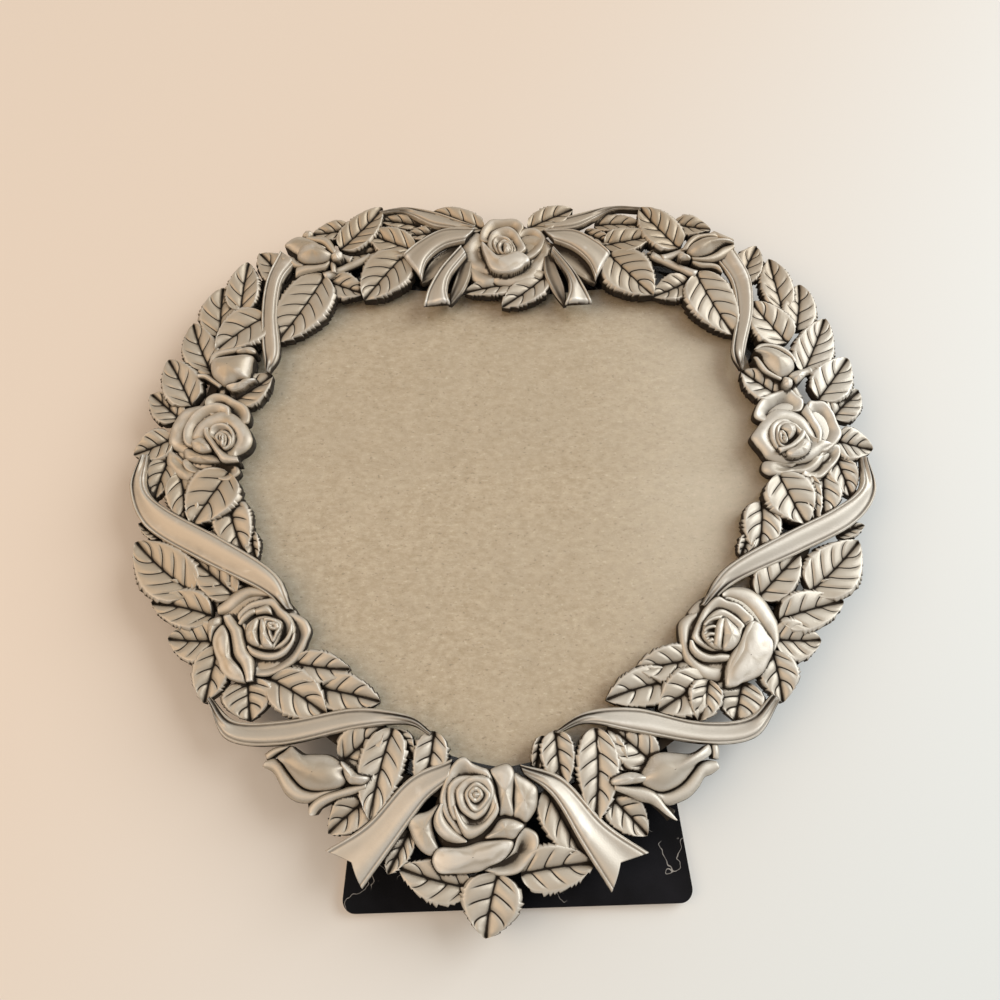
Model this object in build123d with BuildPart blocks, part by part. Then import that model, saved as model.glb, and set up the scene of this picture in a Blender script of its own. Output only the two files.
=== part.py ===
# Heart shaped photo frame: a pewter wreath of rose leaves, roses, buds and ribbon,
# with glass, a velvet covered back and a velvet covered easel leg.
# The frame lies on its back with the leg folded flat, as in the photograph:
# X to the right, Y to the top of the heart, Z up from the table to the flowers.
from build123d import *
from math import atan2, cos, degrees, radians, sin
import os

os.makedirs("parts", exist_ok=True)

# ---- driving dimensions, in millimetres -------------------------------------
# the easel leg, a flat board with velvet on both faces
leg_board_thickness = 1.9
leg_length = 121.0
leg_foot_width = 80.0
leg_head_width = 58.0
leg_corner_radius = 3.0
leg_skew = 1.7              # degrees that the leg leans in its own plane
velvet_thickness = 0.3

# the easel hinge, two leaves face to face under the leg's head
hinge_leaf_thickness = 0.5
hinge_leaf_gap = 0.1
hinge_width = 31.0
hinge_leaf_length = 9.0
hinge_axis_y = 28.0
hinge_knuckles = 3
knuckle_radius = 1.3
knuckle_gap = 0.15          # between neighbouring knuckles
hinge_clearance = 0.3       # from the knuckles to the velvet and to the leg's head
hinge_pin_radius = 0.65
hinge_pin_clearance = 0.05
prong_side = 0.8
prong_clearance = 0.05
prong_group_pitch = 15.8    # between the centres of the two groups of prongs
prong_pitch_x = 3.9
prong_pitch_y = 3.4
prong_row_y = 23.3          # the middle of the prongs, seen as dents from the front
leg_prong_depth = 1.2

# the back, glass and their seat in the casting
board_thickness = 2.2
velvet_turn_in = 7.0        # the velvet's margin, glued down round the board's front
glass_thickness = 2.0
seat_clearance = 0.1        # between the stacked flat pieces
edge_clearance = 0.4        # round the outline of the back and the glass

# the casting
wall_thickness = 2.2
wall_overlap = 1.0          # how far the wall runs up into the leaves
leaf_thickness = 1.9
leaf_valley = 0.7           # how far a leaf's midrib lies below its margins
# half of a leaf's outline: shares of its length and of its width
leaf_outline = [(0.0, 0.0), (0.2, 0.42), (0.6, 0.46), (1.0, 0.0)]
ribbon_thickness = 1.8
petal_thickness = 2.2
petal_sides = 8
petal_step = 0.3            # each petal of a rose lies this much over the last
cup_wall = 1.3
cup_step = 1.3              # how deep each cup of a rose is hollowed
cup_lean = 0.8              # how far each hollow lies off its cup's middle
cup_gap = 0.35              # between a hollow and the cup inside it
cup_turn = 130.0            # degrees from one hollow's lean to the next one's
cup_sides = 8
stem_radius = 1.2
stem_sides = 6
# a bud's sections: shares of its length and of its thickness
bud_sections = [(0.0, 0.5), (0.18, 0.86), (0.42, 1.0), (0.72, 0.72), (1.0, 0.3)]
bud_sides = 8

# the turn buttons that hold the back in
button_thickness = 0.6
button_width = 5.0
button_reach = 9.5
button_corner = 1.4
button_hole_clearance = 0.05
screw_shank_radius = 1.0
screw_head_radius = 2.0
screw_head_height = 0.8
screw_head_gap = 0.05
screw_length = 4.0
screw_hole_clearance = 0.05
boss_radius = 2.6

# ---- the stack of flat pieces, upwards from the table -----------------------
leg_back_z = 0.0
leg_board_z = leg_back_z + velvet_thickness
leg_front_z = leg_board_z + leg_board_thickness
moving_leaf_z = leg_front_z + velvet_thickness
fixed_leaf_z = moving_leaf_z + hinge_leaf_thickness + hinge_leaf_gap
back_z = fixed_leaf_z + hinge_leaf_thickness
board_z = back_z + velvet_thickness
board_front_z = board_z + board_thickness
glass_z = board_front_z + velvet_thickness + seat_clearance
ledge_z = glass_z + glass_thickness + seat_clearance
hinge_axis_z = back_z - hinge_clearance - knuckle_radius
button_z = back_z - seat_clearance - button_thickness

# ---- where the forms lie on the wreath, in millimetres ----------------------
# each leaf: stem x, y, tip x, y, width, and the heights of its stem and its tip
# above the ledge that the glass lies under
leaves = [
    # the left half, from the top of the heart down
    (-5.5, 84.5, -20.5, 91.2, 8.0, 1.3, 0.9),
    (-25.5, 77.0, -39.6, 82.7, 10.0, 1.1, 1.3),
    (-46.8, 77.3, -35.3, 91.6, 10.0, 1.5, 1.6),
    (-44.5, 85.0, -55.5, 82.3, 7.0, 0.5, 0.6),
    (-28.5, 74.8, -39.0, 60.0, 14.0, 1.9, 1.2),
    (-50.0, 66.8, -38.5, 62.3, 8.5, 0.6, 0.3),
    (-50.8, 67.8, -63.0, 46.0, 14.5, 1.8, 0.8),
    (-62.0, 66.0, -70.3, 76.3, 9.0, 0.7, 0.2),
    (-73.5, 56.0, -73.0, 72.7, 9.7, 1.2, 0.8),
    (-78.5, 48.5, -79.6, 64.6, 11.5, 0.5, 0.1),
    (-66.0, 54.5, -78.6, 43.5, 12.5, 1.7, 1.6),
    (-79.8, 38.0, -86.6, 52.8, 10.0, 0.9, 0.0),
    (-83.3, 27.0, -91.6, 41.0, 10.5, 1.5, 0.6),
    (-86.0, 23.0, -95.0, 30.8, 9.0, 0.8, 0.0),
    (-87.0, 17.5, -97.0, 12.8, 9.0, 1.0, 0.3),
    (-87.0, 13.0, -89.8, 0.0, 8.0, 0.4, 0.1),
    (-84.0, 7.5, -79.5, -7.5, 9.0, 0.9, 0.7),
    (-71.0, 7.5, -78.8, -6.7, 14.0, 2.0, 1.3),
    (-70.5, 0.0, -64.8, -14.5, 10.0, 1.0, 0.4),
    (-76.3, -24.3, -92.5, -11.0, 13.5, 1.4, 0.3),
    (-66.0, -25.0, -77.3, -16.0, 9.5, 0.8, 0.7),
    (-63.0, -22.5, -69.5, -18.5, 6.0, 0.1, 0.2),
    (-70.5, -28.5, -76.5, -18.0, 6.0, 0.2, 0.2),
    (-70.8, -30.0, -86.2, -26.7, 9.8, 1.6, 0.5),
    (-69.0, -36.0, -80.9, -35.5, 10.6, 1.1, 0.4),
    (-68.0, -37.5, -70.0, -50.8, 9.3, 1.8, 0.9),
    (-60.5, -45.0, -59.0, -54.8, 12.0, 0.8, 0.2),
    (-54.8, -45.3, -41.0, -53.5, 11.0, 1.4, 1.0),
    (-50.0, -41.3, -36.3, -42.8, 8.0, 1.0, 0.6),
    (-44.5, -47.0, -28.8, -50.3, 9.3, 0.4, 0.3),
    (-37.0, -64.0, -27.5, -56.0, 10.0, 0.7, 0.8),
    (-25.5, -56.3, -29.6, -76.2, 10.5, 1.3, 1.8),
    (-15.8, -57.0, -18.5, -71.0, 8.0, 1.7, 0.6),
    (-29.5, -71.0, -39.0, -79.0, 9.0, 0.9, 0.1),
    (-20.8, -78.5, -25.3, -87.3, 6.0, 0.5, 0.0),
    (-7.0, -90.0, -23.0, -86.0, 9.0, 1.0, 0.1),
    (-1.0, -87.0, -3.6, -99.8, 13.0, 1.6, 0.4),
    # the right half, from the bottom of the heart up
    (4.0, -87.3, 20.5, -85.0, 10.0, 0.9, 0.2),
    (10.0, -69.5, 18.5, -84.5, 10.0, 0.4, 0.1),
    (12.3, -56.8, 13.8, -70.0, 8.0, 1.7, 0.8),
    (21.7, -56.3, 20.6, -77.0, 9.8, 1.2, 1.6),
    (35.0, -64.5, 24.5, -56.0, 10.0, 0.6, 0.5),
    (23.0, -57.5, 28.3, -65.8, 6.0, 0.2, 0.9),
    (24.0, -71.0, 32.4, -79.4, 9.0, 0.9, 0.1),
    (41.0, -45.2, 24.4, -49.9, 9.6, 0.4, 0.3),
    (46.5, -40.0, 31.8, -42.5, 9.0, 1.0, 0.6),
    (49.0, -45.3, 36.5, -52.5, 11.0, 1.4, 1.0),
    (57.0, -45.5, 54.5, -54.8, 12.0, 0.8, 0.2),
    (64.5, -38.5, 65.8, -50.6, 9.5, 1.8, 0.9),
    (65.5, -35.6, 77.0, -35.7, 10.4, 1.1, 0.4),
    (67.3, -31.0, 83.8, -26.3, 10.0, 1.6, 0.5),
    (63.0, -25.3, 74.5, -14.0, 10.0, 0.8, 0.7),
    (75.8, -24.0, 90.0, -10.8, 13.0, 1.4, 0.3),
    (66.5, -0.5, 64.0, -14.5, 10.0, 1.0, 0.4),
    (71.5, 7.0, 77.0, -6.8, 13.0, 2.0, 1.3),
    (83.5, 7.5, 81.5, -5.0, 9.0, 0.8, 0.5),
    (87.3, 12.5, 89.8, 0.8, 8.0, 0.4, 0.1),
    (88.0, 17.0, 97.5, 14.3, 9.5, 1.0, 0.3),
    (88.2, 23.5, 96.6, 31.8, 9.3, 0.8, 0.0),
    (84.8, 28.7, 94.7, 41.5, 11.0, 1.5, 0.6),
    (82.0, 37.0, 90.4, 54.5, 11.0, 0.9, 0.0),
    (78.6, 46.3, 70.0, 59.0, 12.0, 1.6, 1.5),
    (81.8, 50.5, 84.6, 65.7, 9.8, 0.5, 0.1),
    (78.7, 57.0, 76.8, 74.0, 9.5, 1.2, 0.8),
    (67.5, 66.0, 74.0, 78.6, 9.0, 0.7, 0.2),
    (55.3, 68.5, 64.5, 48.5, 14.0, 1.8, 0.8),
    (53.0, 66.8, 42.3, 61.5, 8.5, 0.6, 0.3),
    (30.8, 75.0, 42.6, 61.4, 14.5, 1.9, 1.2),
    (50.0, 86.5, 61.0, 84.3, 7.0, 0.5, 0.6),
    (51.0, 77.8, 40.2, 91.8, 11.5, 1.5, 1.6),
    (29.5, 79.0, 43.6, 82.0, 9.0, 1.1, 1.3),
    (27.0, 86.5, 41.0, 86.0, 6.5, 0.2, 0.3),
    (7.5, 85.0, 20.8, 92.2, 8.0, 1.3, 0.9),
    # inside the heart: under the top rose, and beside the two side roses
    (4.0, 66.0, -10.8, 62.7, 7.0, 0.5, 0.3),
    (12.5, 68.5, -0.2, 58.0, 9.0, 1.1, 0.5),
    (-72.3, 28.3, -62.5, 36.2, 9.5, 1.3, 0.8),
    (74.0, 30.0, 65.0, 37.5, 9.5, 1.3, 0.8),
]

# each ribbon: its two edges from end to end, and its height above the ledge
ribbons = [
    # down the left and the right side
    ([(-64.0, 76.0), (-66.8, 67.0), (-67.3, 57.0), (-66.0, 45.0), (-63.9, 36.4)],
     [(-59.0, 71.5), (-62.3, 65.0), (-62.5, 54.0), (-60.8, 42.0), (-63.0, 36.3)], 2.0),
    ([(61.5, 72.5), (64.9, 65.0), (65.0, 54.0), (62.7, 43.0), (64.3, 37.5)],
     [(66.5, 77.0), (70.3, 67.0), (70.0, 56.0), (67.0, 45.0), (65.2, 37.3)], 2.0),
    # from the outside in across both sides, to the lower roses
    ([(-94.3, 12.0), (-95.7, 3.0), (-90.0, -7.5), (-75.0, -16.3), (-60.0, -23.5), (-53.0, -28.7)],
     [(-92.0, 12.0), (-91.2, 3.0), (-85.0, -2.8), (-70.0, -10.7), (-56.0, -19.5), (-51.0, -28.5)], 1.9),
    ([(95.0, 11.5), (95.7, 2.0), (89.0, -6.5), (75.0, -13.8), (58.0, -21.5), (49.5, -28.0)],
     [(93.0, 11.5), (91.5, 3.0), (83.5, -3.0), (70.0, -9.6), (55.0, -18.2), (48.3, -27.5)], 1.9),
    # under the lower leaves on both sides
    ([(-68.7, -49.2), (-62.0, -54.7), (-50.0, -54.6), (-34.0, -51.9), (-22.0, -53.5), (-16.3, -57.3)],
     [(-68.9, -50.5), (-63.5, -59.0), (-51.0, -60.3), (-34.0, -56.7), (-22.5, -55.6), (-16.8, -58.0)], 1.8),
    ([(63.2, -48.8), (56.5, -54.2), (45.0, -54.8), (31.0, -51.9), (19.5, -52.7), (12.0, -57.3)],
     [(65.0, -50.3), (58.5, -58.4), (47.0, -60.0), (31.0, -57.4), (20.0, -55.4), (13.0, -57.5)], 1.8),
    # from the bow outwards along the top
    ([(-36.0, 89.9), (-29.0, 91.6), (-20.0, 90.2), (-8.0, 85.0)],
     [(-36.0, 88.8), (-29.0, 89.1), (-20.0, 84.4), (-9.0, 82.8)], 1.5),
    ([(12.0, 86.0), (22.0, 89.5), (32.0, 92.4), (40.5, 91.7)],
     [(12.5, 82.9), (22.0, 84.1), (32.0, 90.0), (40.5, 90.1)], 1.5),
    # the upper loops of the bow, near band and far band
    ([(-8.0, 83.3), (-17.0, 83.0), (-24.0, 78.8), (-28.6, 74.3)],
     [(-11.0, 78.2), (-17.0, 76.2), (-21.5, 71.5), (-22.8, 65.5)], 2.9),
    ([(-11.0, 79.0), (-16.0, 76.0), (-20.0, 72.0), (-22.8, 65.8)],
     [(-9.0, 75.0), (-13.0, 73.0), (-17.5, 69.0), (-22.5, 65.4)], 1.4),
    ([(12.0, 82.7), (20.5, 82.8), (27.0, 79.0), (31.0, 75.0)],
     [(15.0, 78.3), (20.5, 75.5), (24.5, 71.0), (26.3, 65.5)], 2.9),
    ([(13.0, 79.0), (19.0, 76.0), (24.0, 71.5), (26.4, 65.8)],
     [(12.0, 76.0), (16.5, 72.0), (20.5, 68.0), (26.0, 65.4)], 1.4),
    # the lower loops of the bow
    ([(-12.0, 77.0), (-17.5, 69.5), (-20.8, 62.5), (-22.0, 57.0)],
     [(-10.3, 73.0), (-14.4, 66.5), (-15.4, 61.5), (-14.6, 58.0)], 3.3),
    ([(-11.5, 73.0), (-12.0, 68.0), (-13.5, 62.5), (-15.0, 58.4)],
     [(-8.5, 72.0), (-9.6, 67.0), (-11.5, 62.5), (-14.3, 58.2)], 1.7),
    ([(14.5, 76.5), (19.5, 69.5), (22.8, 63.5), (25.0, 58.4)],
     [(13.8, 74.0), (17.8, 67.0), (18.6, 62.0), (17.4, 57.8)], 3.3),
    ([(11.8, 74.0), (12.2, 69.0), (14.5, 62.5), (17.2, 58.0)],
     [(13.8, 74.5), (14.8, 69.0), (16.5, 63.5), (17.6, 58.2)], 1.7),
]
tails = [
    # the two swallow tails at the bottom: outer edge to its tip, notch, inner edge
    ([(-11.5, -63.2), (-21.0, -67.3), (-30.0, -76.8), (-39.0, -82.4)], (-33.5, -83.9),
     [(-30.4, -90.0), (-24.0, -81.3), (-17.5, -72.6), (-12.5, -68.3)]),
    ([(4.0, -64.4), (13.5, -67.2), (23.0, -76.8), (32.2, -82.8)], (25.5, -84.7),
     [(23.6, -90.7), (17.5, -81.3), (11.5, -71.5), (5.0, -66.6)]),
]
tail_lift = 2.1

# each rose: centre, heart of its cup, cup radius, and its outer petals as the
# direction in degrees, the reach from the centre and the width
roses = [
    ((0.9, 77.3), (1.0, 77.0), 6.4,
     [(262, 13.0, 19.0), (195, 12.8, 19.0), (325, 14.0, 17.0), (30, 13.0, 13.0), (105, 10.7, 17.0)]),
    ((-76.1, 17.1), (-72.9, 16.6), 5.6,
     [(170, 12.6, 21.0), (85, 13.2, 19.0), (310, 12.6, 18.0), (20, 10.6, 15.0), (245, 12.8, 15.0)]),
    ((76.6, 18.1), (74.6, 16.6), 6.4,
     [(5, 12.8, 20.0), (100, 13.4, 20.0), (275, 12.4, 20.0), (185, 11.0, 17.0), (320, 14.2, 14.0)]),
    ((-58.2, -34.2), (-55.3, -34.0), 6.2,
     [(190, 13.6, 17.0), (110, 11.9, 19.0), (300, 12.4, 18.0), (15, 12.3, 16.0), (235, 12.8, 15.0)]),
    ((54.5, -34.2), (51.7, -34.2), 6.2,
     [(180, 12.2, 18.0), (60, 13.0, 20.0), (265, 12.8, 17.0), (345, 12.2, 16.0), (305, 13.0, 17.0)]),
    ((-5.5, -74.5), (-6.1, -71.3), 7.0,
     [(265, 13.6, 21.0), (180, 15.6, 15.0), (305, 15.6, 15.0), (20, 14.4, 14.0), (100, 12.0, 18.0)]),
]
rose_lift = 1.0             # of a rose's lowest petal above the ledge
cup_lift = 4.2              # of the rim inside a rose's outermost cup

# each bud: where its stem joins it, its tip, its thickness, and its two sepals
buds = [
    ((-48.3, 75.3), (-62.5, 77.6), 9.5, [(-58.0, 83.3), (-59.6, 68.3)]),
    ((51.8, 76.0), (67.0, 80.4), 10.0, [(61.5, 85.0), (63.0, 70.5)]),
    ((-74.6, 33.4), (-71.5, 45.6), 11.5, [(-79.2, 42.0), (-67.2, 36.5)]),
    ((77.8, 34.8), (71.8, 46.8), 11.5, [(80.8, 44.0), (68.6, 42.0)]),
    ((-35.8, -68.0), (-54.8, -62.3), 10.0, [(-47.0, -72.4), (-41.5, -61.8)]),
    ((30.0, -67.4), (49.8, -62.0), 10.0, [(42.5, -72.2), (36.0, -61.8)]),
]
bud_lift = 1.9
sepal_width = 4.2
sepal_stem_lift = 1.5
sepal_tip_lift = 1.2

# each stem: its two ends, and their heights above the ledge
stems = [
    ((-50.8, 67.6), (-38.0, 74.6), 2.2, 1.6),
    ((-48.5, 75.0), (-43.5, 73.4), 2.2, 1.8),
    ((55.2, 68.3), (43.0, 75.2), 2.2, 1.6),
    ((52.2, 76.0), (46.0, 74.0), 2.2, 1.8),
    ((-74.8, 33.6), (-75.5, 29.0), 1.8, 1.8),
    ((-76.5, 34.6), (-82.5, 37.6), 1.6, 1.4),
    ((77.6, 35.0), (79.5, 29.0), 1.8, 1.8),
    ((79.0, 36.2), (84.0, 37.6), 1.6, 1.4),
    ((-36.2, -68.0), (-29.0, -67.3), 2.0, 2.0),
    ((-36.5, -70.6), (-43.3, -73.8), 1.8, 0.8),
    ((30.5, -67.5), (24.0, -67.4), 2.0, 2.0),
    ((31.5, -69.8), (38.0, -75.2), 1.8, 0.8),
]

# the right half of the back's outline, from the top centre down to the point
outline_right = [
    ((0.0, 70.0), (18.0, 72.3), (37.0, 74.0)),
    ((37.0, 74.0), (65.0, 62.5), (76.5, 36.0)),
    ((76.5, 36.0), (79.0, 14.0), (76.5, -8.0)),
    ((76.5, -8.0), (65.0, -31.0), (48.0, -49.0)),
    ((48.0, -49.0), (27.0, -63.8), (0.0, -72.0)),
]

# the turn buttons: a place on the back's outline, and the way outwards in degrees
buttons = [
    ((65.0, 62.5), 41),
    ((65.0, -31.0), 320),
    ((-65.0, -31.0), 220),
    ((-65.0, 62.5), 139),
]


# ---- the forms of the casting -----------------------------------------------
def leaf_blade(stem, tip, width, stem_lift, tip_lift):
    """A pointed leaf on the flat back of the casting, its midrib in a shallow valley."""
    run = Vector(*tip) - Vector(*stem)
    across = Vector(-run.Y, run.X)
    margin = [(along * run.length, aside * width) for along, aside in leaf_outline]
    margin_start = Vector(*stem, ledge_z + leaf_thickness + stem_lift)
    margin_end = Vector(*tip, ledge_z + leaf_thickness + tip_lift)
    margin_middle = (margin_start + margin_end) / 2
    cut_side = 3 * width
    cut_rise = leaf_valley * (2 * cut_side / width - 1)
    with BuildPart() as blade:
        with BuildSketch(Plane(origin=(*stem, ledge_z), x_dir=run)):
            with BuildLine():
                Polyline(*margin)
                mirror(about=Plane.XZ)
            make_face()
        extrude(amount=leaf_thickness + max(stem_lift, tip_lift))
        with BuildSketch(Plane(origin=margin_middle, x_dir=across, z_dir=margin_end - margin_start)):
            Polygon((0, -leaf_valley), (cut_side, cut_rise), (-cut_side, cut_rise), align=None)
        extrude(amount=run.length, both=True, mode=Mode.SUBTRACT)
    return blade.part


def ribbon_band(edge_a, edge_b, lift):
    """A flat stretch of ribbon between two edges, in straight runs."""
    with BuildPart() as band:
        with BuildSketch(Plane.XY.offset(ledge_z + lift)):
            with BuildLine():
                Polyline(*edge_a, *reversed(edge_b), close=True)
            make_face()
        extrude(amount=ribbon_thickness)
    return band.part


def ribbon_tail(outer_edge, notch, inner_edge):
    """A ribbon's end, cut to a swallow tail."""
    with BuildPart() as tail:
        with BuildSketch(Plane.XY.offset(ledge_z + tail_lift)):
            with BuildLine():
                Polyline(*outer_edge, notch, *inner_edge, close=True)
            make_face()
        extrude(amount=ribbon_thickness)
    return tail.part


def rose_forms(centre, heart, cup_radius, petals):
    """Round outer petals, about a cup of petals within petals."""
    forms = []
    for order, (direction, reach, width) in enumerate(petals):
        outward = Vector(cos(radians(direction)), sin(radians(direction)))
        with BuildPart() as petal:
            with BuildSketch(Plane.XY.offset(ledge_z + rose_lift + order * petal_step)):
                with Locations(Vector(*centre) + outward * (reach - width / 2)):
                    RegularPolygon(width / 2, petal_sides, rotation=direction)
            extrude(amount=petal_thickness)
        forms.append(petal.part)
    radius = cup_radius
    middle = Vector(*heart)
    foot = rose_lift + petal_step / 2
    rim = cup_lift
    turn = petals[0][0]
    while radius > 2 * cup_wall:
        hollow = radius - cup_wall
        inner_middle = middle + Vector(cos(radians(turn)), sin(radians(turn))) * cup_lean
        with BuildPart() as cup:
            with BuildSketch(Plane.XY.offset(ledge_z + foot)):
                with Locations(middle):
                    RegularPolygon(radius, cup_sides, rotation=turn)
            extrude(amount=rim - foot)
            with BuildSketch(Plane.XY.offset(ledge_z + rim - cup_step)):
                with Locations(inner_middle):
                    RegularPolygon(hollow, cup_sides, rotation=turn)
            extrude(amount=cup_step, mode=Mode.SUBTRACT)
        forms.append(cup.part)
        foot = rim - cup_step - petal_step
        rim += cup_step - petal_step
        radius = hollow - cup_gap
        middle = inner_middle
        turn += cup_turn
    return forms


def bud_form(stem_end, tip, thickness):
    """A closed bud: tapered bands of few sides, strung along its own axis."""
    start = Vector(*stem_end, ledge_z + bud_lift)
    run = Vector(*tip, ledge_z + bud_lift) - start
    with BuildPart() as bud:
        for (near, girth), (far, next_girth) in zip(bud_sections, bud_sections[1:]):
            band_length = (far - near) * run.length
            inset = (girth - next_girth) * thickness / 2 * cos(radians(180 / bud_sides))
            with BuildSketch(Plane(origin=start + run * near, x_dir=(0, 0, 1), z_dir=run)):
                RegularPolygon(girth * thickness / 2, bud_sides)
            extrude(amount=band_length, taper=degrees(atan2(inset, band_length)))
    return bud.part


def stem_rod(start, end, start_lift, end_lift):
    """A stalk between two forms."""
    foot = Vector(*start, ledge_z + start_lift)
    run = Vector(*end, ledge_z + end_lift) - foot
    with BuildPart() as rod:
        with BuildSketch(Plane(origin=foot, x_dir=(0, 0, 1), z_dir=run)):
            RegularPolygon(stem_radius, stem_sides)
        extrude(amount=run.length)
    return rod.part


# ---- the back's outline and what is placed by it ------------------------------
with BuildSketch() as back_outline:
    with BuildLine():
        for arc_points in outline_right:
            ThreePointArc(*arc_points)
        mirror(about=Plane.YZ)
    make_face()

# the screws stand just outside the seat, each at the middle of its boss
screw_places = []
for outline_place, outward_angle in buttons:
    outward = Vector(cos(radians(outward_angle)), sin(radians(outward_angle)))
    screw_places.append(Vector(*outline_place) + outward * (edge_clearance + boss_radius))

# the prongs of each hinge leaf, in two groups of four
prong_hole_side = prong_side + 2 * prong_clearance
prong_places = []
for group_x in (-prong_group_pitch / 2, prong_group_pitch / 2):
    for prong_x in (group_x - prong_pitch_x / 2, group_x + prong_pitch_x / 2):
        for prong_y in (prong_row_y - prong_pitch_y / 2, prong_row_y + prong_pitch_y / 2):
            prong_places.append((prong_x, prong_y))


# ---- the wreath: one casting, with the wall round the back's seat -------------
leaf_forms = [leaf_blade(row[0:2], row[2:4], *row[4:]) for row in leaves]
ribbon_forms = [ribbon_band(*row) for row in ribbons] + [ribbon_tail(*row) for row in tails]
bud_forms = []
for stem_end, bud_tip, bud_thickness, sepal_tips in buds:
    bud_forms.append(bud_form(stem_end, bud_tip, bud_thickness))
    for sepal_tip in sepal_tips:
        bud_forms.append(leaf_blade(stem_end, sepal_tip, sepal_width, sepal_stem_lift, sepal_tip_lift))
all_rose_forms = [form for row in roses for form in rose_forms(*row)]
stem_forms = [stem_rod(*row) for row in stems]

with BuildPart() as wreath_casting:
    add(leaf_forms + ribbon_forms + all_rose_forms + bud_forms + stem_forms)
    # the whole wreath is flat behind
    split(bisect_by=Plane.XY.offset(ledge_z), keep=Keep.TOP)
    # the wall round the seat of the back and the glass, with a boss for each screw
    with BuildSketch(Plane.XY.offset(back_z)):
        offset(back_outline.sketch, amount=edge_clearance + wall_thickness)
        with Locations(*screw_places):
            Circle(boss_radius)
        offset(back_outline.sketch, amount=edge_clearance, mode=Mode.SUBTRACT)
    extrude(amount=ledge_z + wall_overlap - back_z)
    with BuildSketch(Plane.XY.offset(back_z)):
        with Locations(*screw_places):
            Circle(screw_shank_radius + screw_hole_clearance)
    extrude(amount=screw_length, mode=Mode.SUBTRACT)
wreath_casting.part.label = "wreath_casting"

# ---- the glass and the back ---------------------------------------------------
with BuildPart() as glass_pane:
    with BuildSketch(Plane.XY.offset(glass_z)):
        add(back_outline.sketch)
    extrude(amount=glass_thickness)
glass_pane.part.label = "glass_pane"

with BuildPart() as backing_board:
    with BuildSketch(Plane.XY.offset(board_z)):
        offset(back_outline.sketch, amount=-velvet_thickness)
        with Locations(*prong_places):
            Rectangle(prong_hole_side, prong_hole_side, mode=Mode.SUBTRACT)
    extrude(amount=board_thickness)
backing_board.part.label = "backing_board"

with BuildPart() as back_velvet:
    with BuildSketch(Plane.XY.offset(back_z)):
        add(back_outline.sketch)
        with Locations(*prong_places):
            Rectangle(prong_hole_side, prong_hole_side, mode=Mode.SUBTRACT)
    extrude(amount=velvet_thickness)
    with BuildSketch(Plane.XY.offset(board_z)):
        add(back_outline.sketch)
        offset(back_outline.sketch, amount=-velvet_thickness, mode=Mode.SUBTRACT)
    extrude(amount=board_thickness)
    with BuildSketch(Plane.XY.offset(board_front_z)):
        add(back_outline.sketch)
        offset(back_outline.sketch, amount=-velvet_turn_in, mode=Mode.SUBTRACT)
    extrude(amount=velvet_thickness)
back_velvet.part.label = "back_velvet"

# ---- the easel leg --------------------------------------------------------------
leg_head_y = hinge_axis_y - knuckle_radius - hinge_clearance - hinge_width / 2 * sin(radians(leg_skew))
with BuildSketch() as leg_outline:
    with Locations(Location((0, leg_head_y, 0), (0, 0, leg_skew))):
        with BuildSketch(mode=Mode.PRIVATE) as straight_leg:
            with BuildLine():
                Polyline(
                    (-leg_head_width / 2, 0),
                    (leg_head_width / 2, 0),
                    (leg_foot_width / 2, -leg_length),
                    (-leg_foot_width / 2, -leg_length),
                    close=True,
                )
            make_face()
            fillet(straight_leg.vertices(), leg_corner_radius)
        add(straight_leg.sketch)

with BuildPart() as easel_leg_board:
    with BuildSketch(Plane.XY.offset(leg_board_z)):
        add(leg_outline.sketch)
    extrude(amount=leg_board_thickness)
    with BuildSketch(Plane.XY.offset(leg_front_z)):
        with Locations(*prong_places):
            Rectangle(prong_hole_side, prong_hole_side)
    extrude(amount=-leg_prong_depth, mode=Mode.SUBTRACT)
easel_leg_board.part.label = "easel_leg_board"

with BuildPart() as leg_velvet_front:
    with BuildSketch(Plane.XY.offset(leg_front_z)):
        add(leg_outline.sketch)
        with Locations(*prong_places):
            Rectangle(prong_hole_side, prong_hole_side, mode=Mode.SUBTRACT)
    extrude(amount=velvet_thickness)
leg_velvet_front.part.label = "leg_velvet_front"

with BuildPart() as leg_velvet_back:
    with BuildSketch(Plane.XY.offset(leg_back_z)):
        add(leg_outline.sketch)
    extrude(amount=velvet_thickness)
leg_velvet_back.part.label = "leg_velvet_back"

# ---- the easel hinge: two leaves with prongs, on one pin ----------------------------
knuckle_pitch = hinge_width / hinge_knuckles
knuckle_length = knuckle_pitch - knuckle_gap
knuckle_middles = [(order + 0.5) * knuckle_pitch - hinge_width / 2 for order in range(hinge_knuckles)]


def hinge_leaf(plate_z, own_middles, other_middles, prong_foot_z, prong_rise):
    """A plate rolled into its share of the knuckles, with its prongs bent out."""
    with BuildPart() as leaf:
        with BuildSketch(Plane.XY.offset(plate_z)):
            with Locations((0, hinge_axis_y - hinge_leaf_length / 2)):
                Rectangle(hinge_width, hinge_leaf_length)
            with Locations(*[(middle, hinge_axis_y) for middle in other_middles]):
                Rectangle(knuckle_pitch + knuckle_gap, 2 * (knuckle_radius + knuckle_gap), mode=Mode.SUBTRACT)
        extrude(amount=hinge_leaf_thickness)
        for middle in own_middles:
            with BuildSketch(Plane.YZ.offset(middle - knuckle_length / 2)):
                with Locations((hinge_axis_y, hinge_axis_z)):
                    Circle(knuckle_radius)
            extrude(amount=knuckle_length)
        with BuildSketch(Plane.YZ.offset(-hinge_width / 2)):
            with Locations((hinge_axis_y, hinge_axis_z)):
                Circle(hinge_pin_radius + hinge_pin_clearance)
        extrude(amount=hinge_width, mode=Mode.SUBTRACT)
        with BuildSketch(Plane.XY.offset(prong_foot_z)):
            with Locations(*prong_places):
                Rectangle(prong_side, prong_side)
        extrude(amount=prong_rise)
    return leaf.part


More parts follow.
